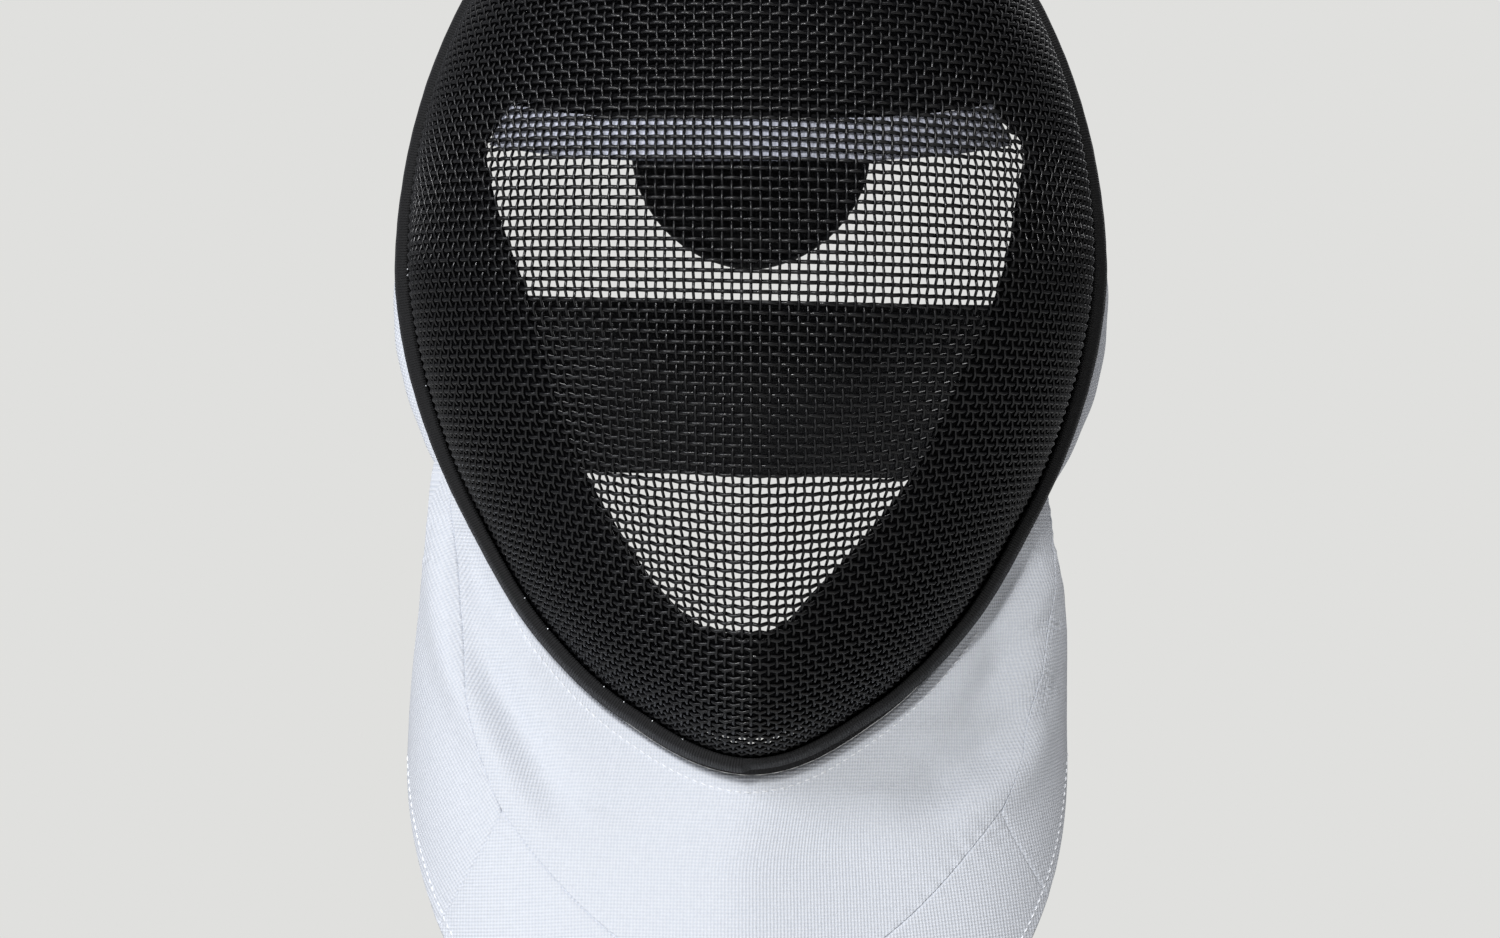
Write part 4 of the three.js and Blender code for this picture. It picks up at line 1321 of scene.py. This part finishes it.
# The knit repeats every 0.8 mm, drawn 1.2 mm apart so that it shows.
knit = [add_node(tree, "ShaderNodeTexWave", {
    "Vector": cloth_uv, "Scale": wave_scale(0.0012), "Distortion": 0.8, "Detail": 1.0,
}, bands_direction=axis).outputs["Fac"] for axis in ("X", "Y")]
loops_of_knit = add_node(tree, "ShaderNodeMath", {0: knit[0], 1: knit[1]}, operation="MULTIPLY")
raised = add_node(tree, "ShaderNodeBump", {
    "Height": loops_of_knit.outputs[0], "Strength": 0.7, "Distance": 0.0004,
})
tree.links.new(raised.outputs["Normal"], shader.inputs["Normal"])

# %% Strap
STRAP = {"upper": -10.5, "lower": -75.5, "back": 197, "fullness": 2.4, "inset": 5, "overlap": 7,
         "lean": 0.021, "spread": 1.15, "thickness": 2, "ribs": 15, "rib_height": 0.3}


def strap_grid(shares, heights, inset):
    angles = -np.arcsin(np.minimum(1, -heights / CAGE["half_width"] / STRAP["spread"]))
    start = by_rim(angles, [-STRAP["overlap"]], -inset)[:, 0]
    turn = np.clip(shares, 0, 1)[:, None] * math.pi
    swing, reach = (np.sign(v) * np.abs(v) ** (2 / STRAP["fullness"]) for v in (np.cos(turn), np.sin(turn)))
    x = start[None, :, 0] * swing
    y = start[None, :, 1] + (STRAP["back"] - start[None, :, 1] + STRAP["inset"] - inset) * reach
    return np.stack([x, y, start[None, :, 2] - STRAP["lean"] * x], axis=-1)


strap_shares = np.linspace(0, 1, 140)
strap_heights = np.linspace(STRAP["upper"], STRAP["lower"], 61)
outer = strap_grid(strap_shares, strap_heights, STRAP["inset"])
inner = strap_grid(strap_shares, strap_heights, STRAP["inset"] + STRAP["thickness"])
plain = (outer + inner) / 2
ridge = STRAP["rib_height"] * np.abs(np.sin(np.linspace(0, 1, 61) * math.pi * STRAP["ribs"]))
thick = rolled(edge_distance(plain), 1.0)[..., None] * (1 - STRAP["rib_height"] + ridge)[None, :, None]
uv = np.stack(np.meshgrid(loop_length(plain, 0), loop_length(plain, 1), indexing="ij"), axis=-1) / 1000
strap = slab_piece("back_strap_elastic", plain + (outer - plain) * thick, plain + (inner - plain) * thick,
                   elastic, uv)
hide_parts("back_strap")


# %% [markdown]
# ## The tongue
# A sprung steel strip, bent down behind the head and padded in black cloth, holds the mask
# on. It narrows at the crown, where it is riveted under the piping, and ends round. It is
# a slab swept along a curve, and the cloth simulation rounds it, as its foam would.

# %% Tongue
TONGUE = {"half_width": 42, "thickness": 4.4, "curve": 106, "root": 0.72, "root_length": 0.2}
TONGUE_LINE = [(149, 145.6), (162, 145.4), (178, 138), (190, 118), (197, 90), (198, 60), (194, 30), (188, 2)]
tongue_cloth = woven_cloth(
    "black_nylon_tongue_cover",
    light="#19191d",
    shade="#0b0b0e",
    pitch=0.0013,
    depth=0.0002,
    Roughness=0.7,
    Sheen_Weight=0.15,
    Sheen_Roughness=0.4,
)
line = through(TONGUE_LINE, 40)
run = np.concatenate([[0.0], np.cumsum(np.linalg.norm(np.diff(line, axis=0), axis=-1))])
share = 1 - (1 - np.linspace(0, 1, 60)) ** 1.3
back, up = (np.interp(share * run[-1], run, line[:, k]) for k in (0, 1))
heading = np.stack([np.gradient(back), np.gradient(up)], axis=-1)
heading /= np.linalg.norm(heading, axis=-1, keepdims=True)
below = np.clip((TONGUE["half_width"] + up[-1] - up) / TONGUE["half_width"], 0, 0.995)
root = TONGUE["root"] + (1 - TONGUE["root"]) * smooth_step(share, 0, TONGUE["root_length"])
x = (TONGUE["half_width"] * root * np.sqrt(1 - below**2))[:, None] * np.linspace(-1, 1, 19)[None]
facing = np.stack([0 * share, -heading[:, 1], heading[:, 0]], axis=-1)[:, None]
middle = np.stack([0 * share, back, up], axis=-1)[:, None]
plain = middle - facing * (x**2 / (2 * TONGUE["curve"]))[..., None]
plain[..., 0] = x
half = (TONGUE["thickness"] / 2 * np.maximum(0.3, rolled(edge_distance(plain), 5)))[..., None]
uv = np.stack(np.broadcast_arrays(x, (share * run[-1])[:, None]), axis=-1) / 1000
tongue = slab_piece("tongue_pad", plain + facing * half, plain - facing * half, tongue_cloth, uv)
puff(tongue, pressure=4.0, cap=1.5)
# A row of sewing runs round the tongue, a finger's width inside its edge.
sewn = (0.9 * hill(edge_distance(plain) - 8, 1.6))[..., None] * facing
finish_pad(tongue, piece_points(tongue) * 1000 - NOSE + np.concatenate([-sewn, sewn]).reshape(-1, 3))
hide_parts("tongue")


# %% [markdown]
# ## Bare cut ends
# Here and there a wire was clipped after it was enamelled, and a bright steel end shows
# beside the piping. They are tiny, so each is a bead with six sides.

# %% Bare wire ends
bare_steel, tree, shader = new_material(
    "bare_cut_steel", Base_Color=linear("#c9cbcd"), Metallic=1.0, Roughness=0.35,
)
grain_place = add_node(tree, "ShaderNodeTexCoord").outputs["Object"]
burr = add_node(tree, "ShaderNodeTexNoise", {"Vector": grain_place, "Scale": 4000.0})
raised = add_node(tree, "ShaderNodeBump", {
    "Height": burr.outputs["Fac"], "Strength": 0.4, "Distance": 0.0001,
})
tree.links.new(raised.outputs["Normal"], shader.inputs["Normal"])
BARE_ENDS = np.array([180, 181, 200, 236, 241, 251, 254, 258, 262]) * DEGREE
END_PLACE = {"along": -9.6, "out": 0.9}
ends = by_rim(BARE_ENDS, [END_PLACE["along"]], END_PLACE["out"])[:, 0]
end_normals = outward(ends)
end_ways = np.cross(end_normals, [0.0, 0.0, 1.0])
bead_points, bead_quads, bead_caps = [], [], []
for number, (end_place, up_way, long_way) in enumerate(zip(ends, end_normals, end_ways)):
    wide_way = np.cross(up_way, long_way)
    first = number * 18
    for station, size in ((-0.5, 0.3), (0.0, 0.45), (0.5, 0.3)):
        for turn in np.arange(6) * math.pi / 3:
            spoke = math.cos(turn) * up_way + math.sin(turn) * wide_way
            bead_points.append(end_place + long_way * station + spoke * size)
    bead_quads.append(grid_faces(3, 6, around=True, first=first))
    bead_caps.append(tuple(range(first + 5, first - 1, -1)))
    bead_caps.append(tuple(range(first + 12, first + 18)))
bare_ends = make_piece(
    "bare_wire_ends", np.array(bead_points), np.concatenate(bead_quads), bare_steel, caps=bead_caps)
print("bare ends", len(BARE_ENDS))
